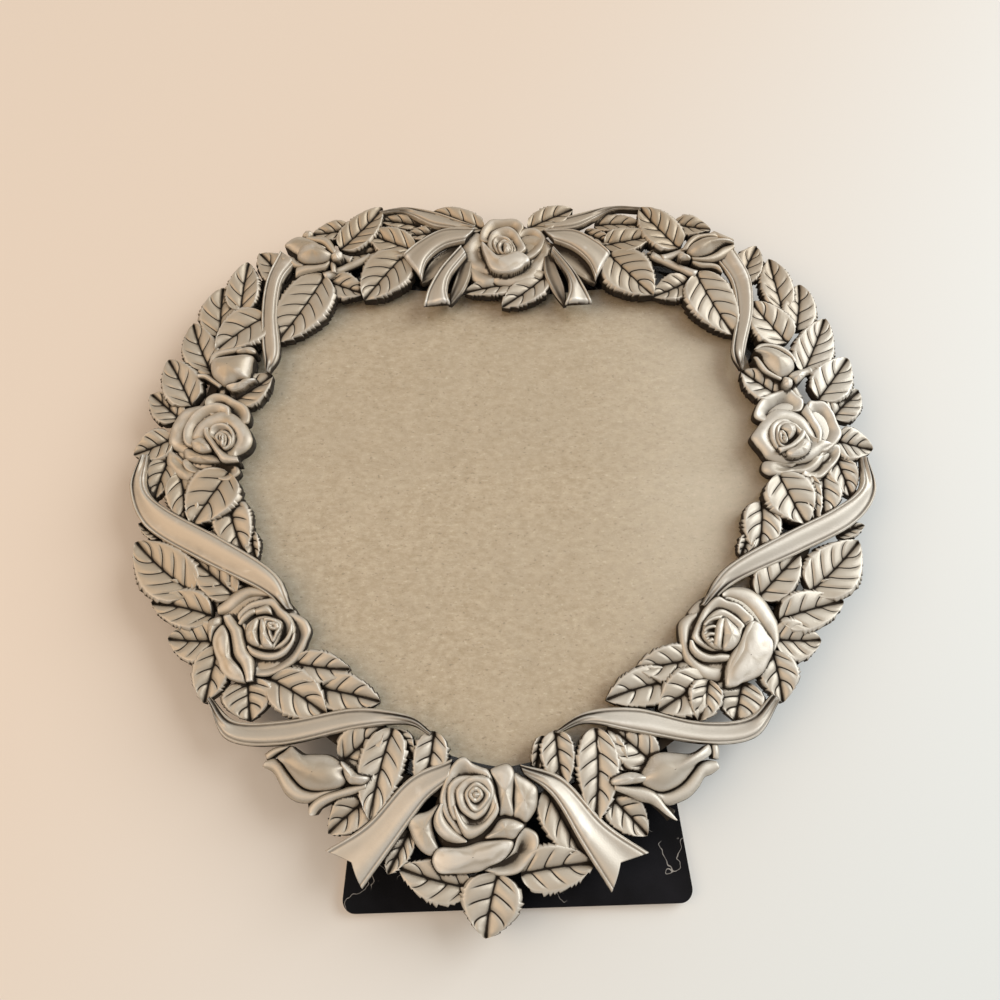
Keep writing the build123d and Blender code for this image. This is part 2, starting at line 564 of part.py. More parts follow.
hinge_fixed_leaf = hinge_leaf(
    fixed_leaf_z, knuckle_middles[0::2], knuckle_middles[1::2], back_z, board_front_z - back_z
)
hinge_fixed_leaf.label = "hinge_fixed_leaf"

leg_prong_reach = velvet_thickness + leg_prong_depth
hinge_moving_leaf = hinge_leaf(
    moving_leaf_z, knuckle_middles[1::2], knuckle_middles[0::2], moving_leaf_z, -leg_prong_reach
)
hinge_moving_leaf.label = "hinge_moving_leaf"

with BuildPart() as hinge_pin:
    with BuildSketch(Plane.YZ.offset(knuckle_middles[0] - knuckle_length / 2)):
        with Locations((hinge_axis_y, hinge_axis_z)):
            Circle(hinge_pin_radius)
    extrude(amount=hinge_width - knuckle_gap)
hinge_pin.part.label = "hinge_pin"


# ---- the turn buttons and their screws ------------------------------------------------
def turn_button(screw_place, outward_angle):
    """A flat button with cut corners, its arm reaching in over the back."""
    with BuildPart() as button:
        with BuildSketch(Plane(origin=(screw_place.X, screw_place.Y, button_z))):
            with Locations(Location((0, 0, 0), (0, 0, outward_angle + 180))):
                with BuildSketch(mode=Mode.PRIVATE) as arm:
                    with Locations(((button_reach - button_width / 2) / 2, 0)):
                        Rectangle(button_reach + button_width / 2, button_width)
                    chamfer(arm.vertices(), button_corner)
                add(arm.sketch)
            Circle(screw_shank_radius + button_hole_clearance, mode=Mode.SUBTRACT)
        extrude(amount=button_thickness)
    return button.part


turn_buttons = []
for order, (screw_place, row) in enumerate(zip(screw_places, buttons), start=1):
    button = turn_button(screw_place, row[1])
    button.label = f"turn_button_{order}"
    turn_buttons.append(button)

screw_head_z = button_z - screw_head_gap - screw_head_height
with BuildPart() as button_screws:
    with BuildSketch(Plane.XY.offset(screw_head_z)):
        with Locations(*screw_places):
            Circle(screw_head_radius)
    extrude(amount=screw_head_height)
    with BuildSketch(Plane.XY.offset(screw_head_z + screw_head_height)):
        with Locations(*screw_places):
            Circle(screw_shank_radius)
    extrude(amount=screw_length)
button_screws.part.label = "button_screws"

# ---- export -----------------------------------------------------------------------------
export_step(wreath_casting.part, "parts/wreath_casting.step")
export_step(glass_pane.part, "parts/glass_pane.step")
export_step(backing_board.part, "parts/backing_board.step")
export_step(back_velvet.part, "parts/back_velvet.step")
export_step(easel_leg_board.part, "parts/easel_leg_board.step")
export_step(leg_velvet_front.part, "parts/leg_velvet_front.step")
export_step(leg_velvet_back.part, "parts/leg_velvet_back.step")
export_step(hinge_fixed_leaf, "parts/hinge_fixed_leaf.step")
export_step(hinge_moving_leaf, "parts/hinge_moving_leaf.step")
export_step(hinge_pin.part, "parts/hinge_pin.step")
for button in turn_buttons:
    export_step(button, f"parts/{button.label}.step")
export_step(button_screws.part, "parts/button_screws.step")
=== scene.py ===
# %% [markdown]
# # Heart shaped photo frame
# A wreath of rose leaves, roses, buds and ribbon in cast pewter, round a heart shaped
# picture opening, with glass, a velvet covered back and a velvet covered easel leg.
# The CAD model is the frame: metres, X to the right, Y to the top of the heart, Z up.
# The scene reads it first. Flat fittings keep the CAD's own meshes, and whatever is modelled
# by hand on the real frame is made anew here.

# %% Read the CAD model
import bpy
import math
import numpy as np
from functools import partial
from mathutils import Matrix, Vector


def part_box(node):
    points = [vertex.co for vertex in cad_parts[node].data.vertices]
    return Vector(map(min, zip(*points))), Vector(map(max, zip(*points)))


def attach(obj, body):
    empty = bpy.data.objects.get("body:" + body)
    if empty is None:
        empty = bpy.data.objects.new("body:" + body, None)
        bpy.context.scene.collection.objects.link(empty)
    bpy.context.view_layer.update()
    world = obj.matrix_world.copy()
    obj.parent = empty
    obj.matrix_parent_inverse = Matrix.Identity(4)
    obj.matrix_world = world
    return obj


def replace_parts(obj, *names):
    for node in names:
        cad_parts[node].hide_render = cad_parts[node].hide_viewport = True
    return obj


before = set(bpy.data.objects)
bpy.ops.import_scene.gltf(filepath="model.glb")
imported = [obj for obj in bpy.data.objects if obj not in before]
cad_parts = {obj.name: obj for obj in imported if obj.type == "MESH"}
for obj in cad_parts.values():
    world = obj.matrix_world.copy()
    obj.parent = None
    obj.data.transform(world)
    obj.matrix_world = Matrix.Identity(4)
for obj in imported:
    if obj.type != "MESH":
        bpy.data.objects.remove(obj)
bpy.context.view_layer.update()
MM = 0.001
print("CAD nodes:", sorted(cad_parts))

# %% [markdown]
# ## Heights
# The layout is written in millimetres, in the CAD's own frame. The height of the flat pieces
# is measured on the CAD nodes and not typed in, so the wreath always sits where the glass
# ends. Leaf and ribbon are as thick as such castings are where they are thinnest.

# %% Where the wreath's flat back lies
GLASS_GAP = 0.1
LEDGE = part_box("glass_pane")[1].z / MM + GLASS_GAP
LEAF_THICKNESS = 1.9
RIBBON_THICKNESS = 1.8
print("the wreath's flat back lies at", round(LEDGE, 2), "mm")

# %% [markdown]
# ## The camera
# The photograph looks down on the frame from its foot, at 70 degrees above the table.
# A camera could be turned until it looks right; here its place was found from the heart's
# outline, whose lower half is nearer and larger. Places of petals were read in the plane
# PHOTO_PLANE, so each is moved along the line of sight to the height that it really has.

# %% The camera, and places read in the photograph
CAMERA_PLACE = Vector((0.0, -70.1, 203.6))
CAMERA_TARGET = Vector((0.0, 0.0, 11.0))
PHOTO_PLANE = 11.0

camera = bpy.data.objects.new("camera", bpy.data.cameras.new("camera"))
camera.location = CAMERA_PLACE * MM
camera.rotation_euler = (CAMERA_TARGET - CAMERA_PLACE).to_track_quat("-Z", "Y").to_euler()
camera.data.sensor_width = 36.0
camera.data.lens = 28.8
camera.data.shift_x = -0.0025
camera.data.clip_start = 0.01
bpy.context.scene.collection.objects.link(camera)
bpy.context.scene.camera = camera


def from_photo(x, y, z):
    """A place read in the photograph's plane, moved along the line of sight to height z."""
    share = (CAMERA_PLACE.z - z) / (CAMERA_PLACE.z - PHOTO_PLANE)
    return x * share, CAMERA_PLACE.y + (y - CAMERA_PLACE.y) * share


print("camera at", tuple(round(c, 1) for c in CAMERA_PLACE), "mm")

# %% [markdown]
# ## What every finish needs
# A material is a net of nodes. Colours are written as they look, in sRGB hex, and are made
# linear in one place. One helper adds any node with its settings and its links, and each
# pattern's scale is worked out from the size in millimetres that it has on the real thing.
# Patterns read Object coordinates, so they lie still on a piece however it is cut up.

# %% Colours, nodes and scales
def linear(hex_colour):
    """An sRGB hex colour as linear RGBA."""
    channels = [int(hex_colour[i:i + 2], 16) / 255 for i in (0, 2, 4)]
    light = [c / 12.92 if c <= 0.04045 else ((c + 0.055) / 1.055) ** 2.4 for c in channels]
    return (*light, 1.0)


def add_node(material, kind, *values, named=None, output="", **settings):
    """Adds a node and makes its settings. Values are linked or set, in the order of the
    inputs in use or by their names. Gives back the output named, or else the first."""
    node = material.node_tree.nodes.new("ShaderNode" + kind)
    for name, value in settings.items():
        setattr(node, name, value)
    in_use = [socket for socket in node.inputs if socket.enabled]
    by_name = [(node.inputs[name], value) for name, value in (named or {}).items()]
    for socket, value in [*zip(in_use, values), *by_name]:
        if isinstance(value, bpy.types.NodeSocket):
            material.node_tree.links.new(value, socket)
        else:
            socket.default_value = value
    outputs = [socket for socket in node.outputs if socket.enabled]
    chosen = [socket for socket in outputs if socket.name == output] or outputs
    return chosen[0] if chosen else None


def start_material(name):
    """A material with no nodes, the helper bound to it, and its Object coordinates."""
    material = bpy.data.materials.new(name)
    material.use_nodes = True
    material.node_tree.nodes.clear()
    add = partial(add_node, material)
    return material, add, add("TexCoord", output="Object")


def per_metre(size_mm):
    """How often a grain of this size repeats in a metre."""
    return 1 / (size_mm * MM)


EVEN = 0.55                                  # a noise's roughness, unless a pattern needs another
SOFT = {"interpolation_type": "SMOOTHSTEP"}  # a range that eases in and out
COLOUR = {"data_type": "RGBA"}
print("a 5 mm grain repeats", per_metre(5), "times in a metre")

# %% [markdown]
# ## Pewter
# Cast pewter is dipped in a dark patina and then rubbed back with a cloth, so the recesses
# stay nearly black-brown and the high places come up pale and soft. Painting that by hand
# would be one way; here each vertex carries how much of the dip it kept, together with painted
# shade in recesses, under rims and on undersides, and "rubbed", how far a cloth reached, because both can be
# worked out from the form.
# A vein is cut thinner than a mesh can follow, so the material draws it: "phase" is whole
# where a side vein runs, "spacing" is how far the side veins are apart, and "aside" how far
# it is to the midrib or to a ribbon's groove, both in millimetres. "lined" says how much of
# the cut there is.
# Typical pewter is a pale grey metal; half tarnished, it shows far fewer reflections, which
# is why it is only partly metallic and rather rough.

# %% The lines cut into the leaves and ribbons
VEIN_LINE = (0.24, 0.07)         # mm from the line's middle, where it starts and where it is full
MIDRIB_LINE = (0.28, 0.09)


def cut_lines(add):
    """One where a vein or a groove is cut, and nought elsewhere."""
    names = ("phase", "spacing", "aside", "lined")
    phase, spacing, aside, lined = (add("Attribute", attribute_name=name, output="Fac") for name in names)
    step = add("Math", add("Math", phase, 0.5, operation="ADD"), operation="FRACT")
    off = add("Math", add("Math", step, 0.5, operation="SUBTRACT"), operation="ABSOLUTE")
    away = add("Math", off, spacing, operation="MULTIPLY")
    veined = add("Math", spacing, 0.01, operation="GREATER_THAN")
    side_veins = add("Math", add("MapRange", away, *VEIN_LINE, **SOFT), veined, operation="MULTIPLY")
    midrib = add("MapRange", add("Math", aside, operation="ABSOLUTE"), *MIDRIB_LINE, **SOFT)
    line = add("Math", side_veins, midrib, operation="MAXIMUM")
    return add("Math", line, lined, operation="MULTIPLY")


print("a vein's line is", 2 * VEIN_LINE[0], "mm wide at most")

# %% Antiqued pewter
PEWTER = ("C1BBAF", "D9D5CC")    # the metal's darker and paler clouds
# the second of these tones is painted shade on the left side and the top; the fourth darkens both the dip's
# patina and painted shade in recesses
SLOW_CLOUD, SIDE_SHADE_TONE, POLISHED, PATINA_AND_SHADE_TONE, VEIN_DARK = "C1B9AB", "A59072", "F2EFE9", "3E352B", "271F17"
PEWTER_METALLIC = 0.55
PEWTER_ROUGHNESS = (0.50, 0.80)  # rubbed, and where the patina lies


def antiqued_pewter():
    material, add, place = start_material("pewter_antiqued")
    mottle = add("TexNoise", place, per_metre(5.88), 4.0, 0.62)      # clouds of the dip
    grain = add("TexNoise", place, per_metre(0.417), 2.0, EVEN)      # the mould's sandy skin
    slow = add("TexNoise", place, per_metre(33.3), 2.0, EVEN)        # a hand's uneven rubbing
    line = cut_lines(add)
    clouds = add("MapRange", mottle, 0.30, 0.70)
    tone = add("Mix", clouds, *map(linear, PEWTER), **COLOUR)
    tone = add("Mix", add("MapRange", slow, 0.35, 0.65, **SOFT), tone, linear(SLOW_CLOUD), **COLOUR)
    # painted shade: the left side and the top are darker and warmer, over centimetres
    painted_shade_left = add("MapRange", add("SeparateXYZ", place, output="X"), 0.06, -0.09, 0.0, 0.58, **SOFT)
    painted_shade_top = add("MapRange", add("SeparateXYZ", place, output="Y"), 0.03, 0.085, 0.0, 0.72, **SOFT)
    painted_side_shade = add("Math", painted_shade_left, painted_shade_top, operation="MAXIMUM")
    tone = add("Mix", painted_side_shade, tone, linear(SIDE_SHADE_TONE), **COLOUR)
    # a cloth brings up the crests, but less under the painted shade of the left side and the top
    bright = add("Math", 1.0, add("Math", painted_side_shade, 0.5, operation="MULTIPLY"), operation="SUBTRACT")
    rubbed = add("Attribute", attribute_name="rubbed", output="Fac")
    tone = add("Mix", add("Math", rubbed, bright, operation="MULTIPLY"), tone, linear(POLISHED), **COLOUR)
    # the dip stayed in the recesses, unevenly, and painted shade darkens them further
    fine_wash = add("Math", mottle, 0.34, operation="MULTIPLY")
    slow_wash = add("Math", slow, 0.10, operation="MULTIPLY")
    wash = add("Math", fine_wash, slow_wash, operation="ADD")
    patina = add("Attribute", attribute_name="patina", output="Fac")
    darkened = add("MapRange", add("Math", patina, wash, operation="ADD"), 0.29, 1.12, **SOFT)
    tone = add("Mix", darkened, tone, linear(PATINA_AND_SHADE_TONE), **COLOUR)
    tone = add("Mix", line, tone, linear(VEIN_DARK), **COLOUR)
    dulled = add("Math", darkened, line, operation="MAXIMUM")
    rough = add("MapRange", dulled, 0.0, 1.0, *PEWTER_ROUGHNESS, **SOFT)
    cut = add("Bump", named={"Height": line, "Strength": 0.5, "Distance": 0.3 * MM}, invert=True)
    sanded = add("Bump", named={"Height": grain, "Strength": 0.15, "Distance": 0.2 * MM, "Normal": cut})
    add("OutputMaterial", add("BsdfPrincipled", named={
        "Base Color": tone, "Metallic": PEWTER_METALLIC, "Roughness": rough, "Normal": sanded}))
    return material


pewter = antiqued_pewter()
print("made", pewter.name)

# %% [markdown]
# ## Board
# The back and the leg are cut from grey-brown board, pressed from waste paper: pale and dark
# fibres, mostly side by side, and a matt face. Real fibres are finer than the picture can
# show, so they are drawn at about 1 mm. The hinge's eight prongs are clinched behind the
# paper face and press dents into it. Those could be modelled, but the photograph only hints
# at them, so a pattern in the material draws them.

# %% Grey-brown board
# eight dents in two groups of four, alike on both sides of the middle, in millimetres
DENT_GROUP_X, DENT_HALF_X, DENT_MIDDLE_Y, DENT_HALF_Y = 7.9, 1.95, 23.3, 1.7
DENT_RADIUS = (1.0, 0.35)        # where a dent starts, and where it is deepest
# the first tone is painted light on the board's right side, and the third the darker board above the edge of
# a painted reflection of the glass
PAINTED_LIGHT_TONE, DENT_TONE, ABOVE_REFLECTION_TONE = "C3BCB0", "8A7B66", "8D7D66"
# single dark and pale fibres: size in mm, where in the noise one starts and is full, and cover
FIBRES = [(0.667, 0.66, 0.72, 0.50, "6E6253"), (0.741, 0.32, 0.26, 0.22, "D9CEBC")]
# where a painted reflection of the glass ends
BREAK_Y, BREAK_SOFT = 9.0, 1.6   # above this the board's tone is a little darker


def pressed_board(name, colours):
    """The board's tone and height, before anything has happened to its face."""
    material, add, place = start_material(name)
    along = add("Mapping", named={"Vector": place, "Scale": (0.6, 1.0, 1.0)})
    fibres = add("TexNoise", along, per_metre(1.11), 4.0, 0.7)
    fine = add("TexNoise", place, per_metre(0.385), 2.0, EVEN)
    cloud = add("TexNoise", place, per_metre(28.6), 3.0, EVEN)
    dark, pale, clouded = map(linear, colours)
    tone = add("Mix", add("MapRange", fibres, 0.30, 0.70), dark, pale, **COLOUR)
    tone = add("Mix", add("MapRange", cloud, 0.3, 0.7, 0.0, 0.35, **SOFT), tone, clouded, **COLOUR)
    for size, start, full, cover, fibre in FIBRES:
        fleck = add("TexNoise", along, per_metre(size), 1.0, EVEN)
        shown = add("MapRange", fleck, start, full, 0.0, cover, **SOFT)
        tone = add("Mix", shown, tone, linear(fibre), **COLOUR)
    height = add("Math", fibres, add("Math", fine, 0.5, operation="MULTIPLY"), operation="ADD")
    return material, add, place, cloud, tone, height


def finish_board(add, tone, height):
    """Matt paper, with just enough relief to catch the light along its fibres."""
    relief = add("Bump", named={"Height": height, "Strength": 0.25, "Distance": 0.2 * MM})
    add("OutputMaterial", add("BsdfPrincipled", named={
        "Base Color": tone, "Roughness": 0.85, "Normal": relief}))


def dented_board():
    """The back's board: paler to the right with painted light, dented by the prongs, and darker above
    BREAK_Y, where a painted reflection ends.
    """
    material, add, place, cloud, tone, height = pressed_board("board_back", ("968770", "B4A692", "A79B89"))
    x_metres = add("SeparateXYZ", place, output="X")
    # painted light: the board grows paler towards the right
    painted_light_right = add("MapRange", x_metres, 0.015, 0.075, 0.0, 0.55, **SOFT)
    tone = add("Mix", painted_light_right, tone, linear(PAINTED_LIGHT_TONE), **COLOUR)
    x = add("Math", x_metres, 1 / MM, operation="MULTIPLY")
    y = add("Math", add("SeparateXYZ", place, output="Y"), 1 / MM, operation="MULTIPLY")
    # folded over at the middle of all, of a group and of a row, the eight dents lie on one
    squares = []
    for off, middles in ((x, (0.0, DENT_GROUP_X, DENT_HALF_X)), (y, (DENT_MIDDLE_Y, DENT_HALF_Y))):
        for middle in middles:
            off = add("Math", add("Math", off, middle, operation="SUBTRACT"), operation="ABSOLUTE")
        squares.append(add("Math", off, off, operation="MULTIPLY"))
    apart = add("Math", add("Math", *squares, operation="ADD"), operation="SQRT")
    dent = add("MapRange", apart, *DENT_RADIUS, **SOFT)
    tone = add("Mix", add("Math", dent, 0.22, operation="MULTIPLY"), tone, linear(DENT_TONE), **COLOUR)
    # painted reflection: the board is lighter below a wavy line at BREAK_Y and darker above it
    wavy_y = add("Math", y, add("Math", cloud, 1.5, operation="MULTIPLY"), operation="ADD")
    upper = add("MapRange", wavy_y, BREAK_Y, BREAK_Y + BREAK_SOFT, 0.0, 0.10, **SOFT)
    tone = add("Mix", upper, tone, linear(ABOVE_REFLECTION_TONE), **COLOUR)
    height = add("Math", height, add("Math", dent, 2.5, operation="MULTIPLY"), operation="ADD")
    finish_board(add, tone, height)
    return material


board_back = dented_board()
board_leg, add_to_leg, _, _, leg_tone, leg_height = pressed_board("board_leg", ("B8977A", "CDB094", "C0A587"))
finish_board(add_to_leg, leg_tone, leg_height)
print("made", board_back.name, "and", board_leg.name)

# %% [markdown]
# ## Velvet
# Black velvet is a woven cloth whose cut pile swallows the light, with a soft sheen at a
# slant. Its pile is too fine to show, so it is drawn as a bump of 0.2 mm, and "Sheen Weight"
# gives the soft light at a slant. Hair particles would be the fuller way, but the pile lies
# under a millimetre. Lint is thin pale curls, drawn where a noise passes its middle value,
# because such places are long thin lines. It clings mostly to the leg's foot.

# %% Black velvet
PILE = ("0B0B0E", "1B1B20")
LINT, LINT_COVER = "BDB9B4", 0.70
LEG_FOOT_Y = (-0.072, -0.080)


def black_velvet():
    material, add, place = start_material("velvet_black")
    nap = add("TexNoise", place, per_metre(0.192), 2.0, EVEN)
    crushed = add("TexNoise", place, per_metre(16.7), 3.0, EVEN)
    tone = add("Mix", add("MapRange", crushed, 0.35, 0.70), *map(linear, PILE), **COLOUR)
    curls = add("TexNoise", place, per_metre(4.76), 2.0, 0.4)
    off = add("Math", add("Math", curls, 0.5, operation="SUBTRACT"), operation="ABSOLUTE")
    curl = add("MapRange", off, 0.010, 0.004, **SOFT)
    where = add("MapRange", add("TexNoise", place, per_metre(13.3), 1.0, EVEN), 0.57, 0.62, **SOFT)
    foot = add("MapRange", add("SeparateXYZ", place, output="Y"), *LEG_FOOT_Y, 0.03, 1.0, **SOFT)
    lint = add("Math", add("Math", curl, where, operation="MULTIPLY"), foot, operation="MULTIPLY")
    tone = add("Mix", add("Math", lint, LINT_COVER, operation="MULTIPLY"), tone, linear(LINT), **COLOUR)
    pile = add("Bump", named={"Height": nap, "Strength": 0.5, "Distance": 0.3 * MM})
    add("OutputMaterial", add("BsdfPrincipled", named={
        "Base Color": tone, "Roughness": 0.95, "Sheen Weight": 0.35, "Sheen Roughness": 0.4,
        "Specular IOR Level": 0.15, "Normal": pile}))
    return material


velvet = black_velvet()
print("made", velvet.name)

# %% [markdown]
# ## Glass
# A sheet of window glass, IOR 1.5, wiped with a cloth that left faint smears. Glass alone
# would throw a full shadow on the board, because light that bends on its way to a lamp isn't
# found, so a shadow ray meets a nearly clear sheet instead.

# %% Clear window glass
def clear_glass():
    material, add, place = start_material("glass_clear")
    smear = add("MapRange", add("TexNoise", place, per_metre(55.6), 3.0, EVEN), 0.3, 0.8, 0.01, 0.05, **SOFT)
    glass = add("BsdfPrincipled", named={
        "Base Color": linear("FFFFFF"), "Roughness": smear, "Transmission Weight": 1.0, "IOR": 1.5})
    clear = add("BsdfTransparent", linear("F6F8F6"))
    shadow_ray = add("LightPath", output="Is Shadow Ray")
    add("OutputMaterial", add("MixShader", shadow_ray, glass, clear))
    return material


glass = clear_glass()
print("made", glass.name)

# %% [markdown]
# ## Hinge, screws and turn buttons
# The hinge and the screws are plated steel and the turn buttons stamped brass. Their metal
# was rolled or drawn, so fine lines run one way, drawn coarse enough to show, and handling
# has dulled it in patches. The CAD's own meshes are right for parts this plain, so they only
# get their finish.

# %% Rolled sheet metal, and the CAD nodes that keep their meshes
def rolled_metal(name, colours, roughness, dulled=0.16):
    """Sheet metal with lines along X, dulled in patches. Roughness is where it is clean."""
    material, add, place = start_material(name)
    drawn = add("Mapping", named={"Vector": place, "Scale": (0.08, 1.0, 1.0)})
    lines = add("TexNoise", drawn, per_metre(0.385), 3.0, EVEN)
    dull = add("TexNoise", place, per_metre(7.14), 4.0, EVEN)
    tone = add("Mix", add("MapRange", dull, 0.30, 0.70), *map(linear, colours), **COLOUR)
    rough = add("MapRange", dull, 0.3, 0.7, roughness, roughness + dulled, **SOFT)
    relief = add("Bump", named={"Height": lines, "Strength": 0.15, "Distance": 0.1 * MM})
    add("OutputMaterial", add("BsdfPrincipled", named={
        "Base Color": tone, "Metallic": 1.0, "Roughness": rough, "Normal": relief}))
    return material


steel = rolled_metal("steel_plated", ("A9A9A6", "C9C8C4"), 0.28)
brass = rolled_metal("brass_stamped", ("A9833F", "C8A25A"), 0.30)
finishes = {"glass_pane": glass, "easel_leg_board": board_leg}
finishes.update(dict.fromkeys(("hinge_fixed_leaf", "hinge_moving_leaf", "hinge_pin", "button_screws"), steel))
finishes.update(dict.fromkeys((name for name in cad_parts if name.startswith("turn_button")), brass))
for node_name, finish in finishes.items():
    for material_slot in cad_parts[node_name].material_slots:
        material_slot.material = finish
print("finished CAD nodes:", sorted(finishes))

# %% [markdown]
# ## Gathering forms into pieces
# The wreath is one casting of well over a hundred leaves, petals and bands. They could be
# modelled one by one with operators, but each has its own place, lean and veins, and curved
# petals round a hub are no primitive's shape. So each form is worked out as an array of
# points, from its outline and from the cut across it, and the forms of a kind are gathered
# and become one piece. Every vertex also carries the shades that the pewter reads.

# %% A gathering of closed forms
SHADES = ("patina", "rubbed", "phase", "spacing", "aside", "lined")


class Gathering:
    """Points, faces and vertex shades of many forms that make one piece."""

    def __init__(self, name):
        self.name, self.points, self.faces, self.count = name, [], [], 0
        self.shades = {shade: [] for shade in SHADES}

    def add(self, points, quads, **shades):
        """One more closed form. If it came inside out, as its volume tells, it is turned."""
        a, b, c, d = (points[quads[:, i]] for i in range(4))
        halves = ((a, b, c), (a, c, d))
        volume = sum(np.einsum("ij,ij->i", p, np.cross(q, r)).sum() for p, q, r in halves)
        self.faces.append((quads if volume > 0 else quads[:, [0, 3, 2, 1]]) + self.count)
        self.points.append(points)
        for shade in SHADES:
            self.shades[shade].append(np.broadcast_to(shades.get(shade, 0.0), len(points)).astype(float))
        self.count += len(points)


print("each vertex carries", ", ".join(SHADES))

# %% Curves and grids
CURVE_STEPS = 40                 # between two places of an outline


def grid_quads(rows, columns, wrap=False):
    """Quads of a grid of points, row by row; with wrap, the last column joins the first."""
    last = columns if wrap else columns - 1
    i, j = np.meshgrid(np.arange(rows - 1), np.arange(last), indexing="ij")
    a = i * columns + j
    b = i * columns + (j + 1) % columns
    return np.stack([a, b, b + columns, a + columns], axis=-1).reshape(-1, 4)


def smoothstep(low, high, value):
    """From 0 at low to 1 at high, easing in and out."""
    t = np.clip((value - low) / (high - low), 0, 1)
    return t * t * (3 - 2 * t)


def path_length(places):
    return np.hypot(*np.diff(places, axis=0).T).sum()


def through(points, samples, closed=False):
    """Evenly stepped samples of a smooth curve through points. Between two of them it is a
    cubic, whose slope at each point runs as the line between the points on both sides."""
    p = np.asarray(points, float)
    if closed:
        p = np.vstack([p[-1:], p, p[:2]])
    else:
        p = np.vstack([2 * p[0] - p[1], p, 2 * p[-1] - p[-2]])
    spans = len(p) - 3
    t = np.linspace(0, spans, CURVE_STEPS * spans + 1)
    k = np.minimum(t.astype(int), spans - 1)
    f = (t - k)[:, None]
    a, b, c, d = p[k], p[k + 1], p[k + 2], p[k + 3]
    bend, twist = 2 * a - 5 * b + 4 * c - d, 3 * b - a - 3 * c + d
    curve = 0.5 * (2 * b + (c - a) * f + bend * f ** 2 + twist * f ** 3)
    way = np.concatenate([[0], np.cumsum(np.linalg.norm(np.diff(curve[:, :2], axis=0), axis=1))])
    steps = np.linspace(0, way[-1], samples, endpoint=not closed)
    return np.stack([np.interp(steps, way, curve[:, i]) for i in range(curve.shape[1])], axis=1)


def arc_steps(count):
    """Steps from 0 to 1 that are closer together at both ends, as a row of points."""
    return 0.5 - 0.5 * np.cos(np.linspace(0, np.pi, count))[None, :]


print("a curve through three places is", round(path_length(through([(0, 0), (1, 1), (2, 0)], 50)), 2), "long")

# %% [markdown]
# ## From a skin to a closed form
# A leaf or a band starts as a skin: a grid of points. An open skin has no thickness, so
# light would leak in under it. Solidify could thicken it, but would follow its veins on the
# underside as well. Here walls go down from the rim to a flat back, as in a one-sided mould.

# %% Walls and a flat back
WALL_BREAK = 0.9                 # mm below the rim, where the wall turns dark
# how dark the wall is below its break, with patina and painted shade under the rim
WALL_PATINA_AND_SHADE = 0.62


def flat_back(rows, columns, rim_count):
    """A ladder from side to side, with a fan at each end, over the rim's points in order."""
    row = np.arange(rows)
    right, left = columns - 1 + row, (rim_count - row) % rim_count
    first, last = np.arange(1, columns - 1), right[-1] + np.arange(1, columns - 1)
    return np.vstack([
        np.stack([right[1:], right[:-1], left[:-1], left[1:]], axis=1),
        np.stack([0 * first, first + 1, first, first], axis=1),
        np.stack([0 * last + right[-1], last + 1, last, last], axis=1)])


def closed_grid(into, top, floor=None, notched=False, **shades):
    """A skin closed by walls down to the floor and a flat back. Where the end of the skin
    has a notch, a ladder would bridge it, so the back repeats the skin's own grid."""
    rows, columns = top.shape[:2]
    floor = LEDGE if floor is None else floor
    rim = np.concatenate([
        np.arange(columns), np.arange(1, rows) * columns + columns - 1,
        (rows - 1) * columns + np.arange(columns - 2, -1, -1), np.arange(rows - 2, 0, -1) * columns])
    skin = top.reshape(-1, 3)
    middle = skin[rim]
    low = skin.copy() if notched else middle.copy()
    middle[:, 2] = np.maximum(middle[:, 2] - WALL_BREAK, floor + 0.05)
    low[:, 2] = floor
    upper = len(skin) + np.arange(len(rim))
    foot = len(skin) + len(rim) + (rim if notched else np.arange(len(rim)))
    back = grid_quads(rows, columns)[:, ::-1] if notched else flat_back(rows, columns, len(rim))
    quads = [
        grid_quads(rows, columns),
        np.stack([rim, upper, np.roll(upper, -1), np.roll(rim, -1)], axis=1),
        np.stack([upper, foot, np.roll(foot, -1), np.roll(upper, -1)], axis=1),
        back + len(skin) + len(rim)]
    # walls and flat backs lie under the rim: they get patina and painted shade
    hidden = {"patina": np.concatenate([np.full(len(rim), WALL_PATINA_AND_SHADE), np.ones(len(low))])}
    no_shade = np.zeros(len(rim) + len(low))
    shades = {name: np.append(np.broadcast_to(value, (rows, columns)), hidden.get(name, no_shade))
              for name, value in shades.items()}
    into.add(np.vstack([skin, middle, low]), np.vstack(quads), **shades)


print("a back of 3 by 4 points has", len(flat_back(3, 4, 10)), "faces")

# %% [markdown]
# ## Leaves
# A rose leaf is folded along its midrib, bulges between its side veins and has a saw-toothed
# margin. A photographed leaf could be cut out as a flat card, but the casting's leaves are
# carved: the light plays on the fold and the bulges. So u runs from the stem to the tip and
# v from one margin to the other, and the outline and the height are worked out from them.

# %% A leaf's margin and veins
TOOTH_PITCH, TOOTH_DEPTH = 1.55, 0.75
TEETH_WIDEN = 1.06               # the layout gives widths without the teeth
STEM_CURVE, TIP_CURVE = 0.50, 0.80
VEIN_PITCH = 5.0                 # mm along the midrib, about
VEINS_START, VEINS_SPAN = 0.10, 0.76
VEIN_LEAN, VEIN_CURVE = 0.42, 1.35
TWO_SIDES_APART = 0.17           # of a vein's pitch, either way


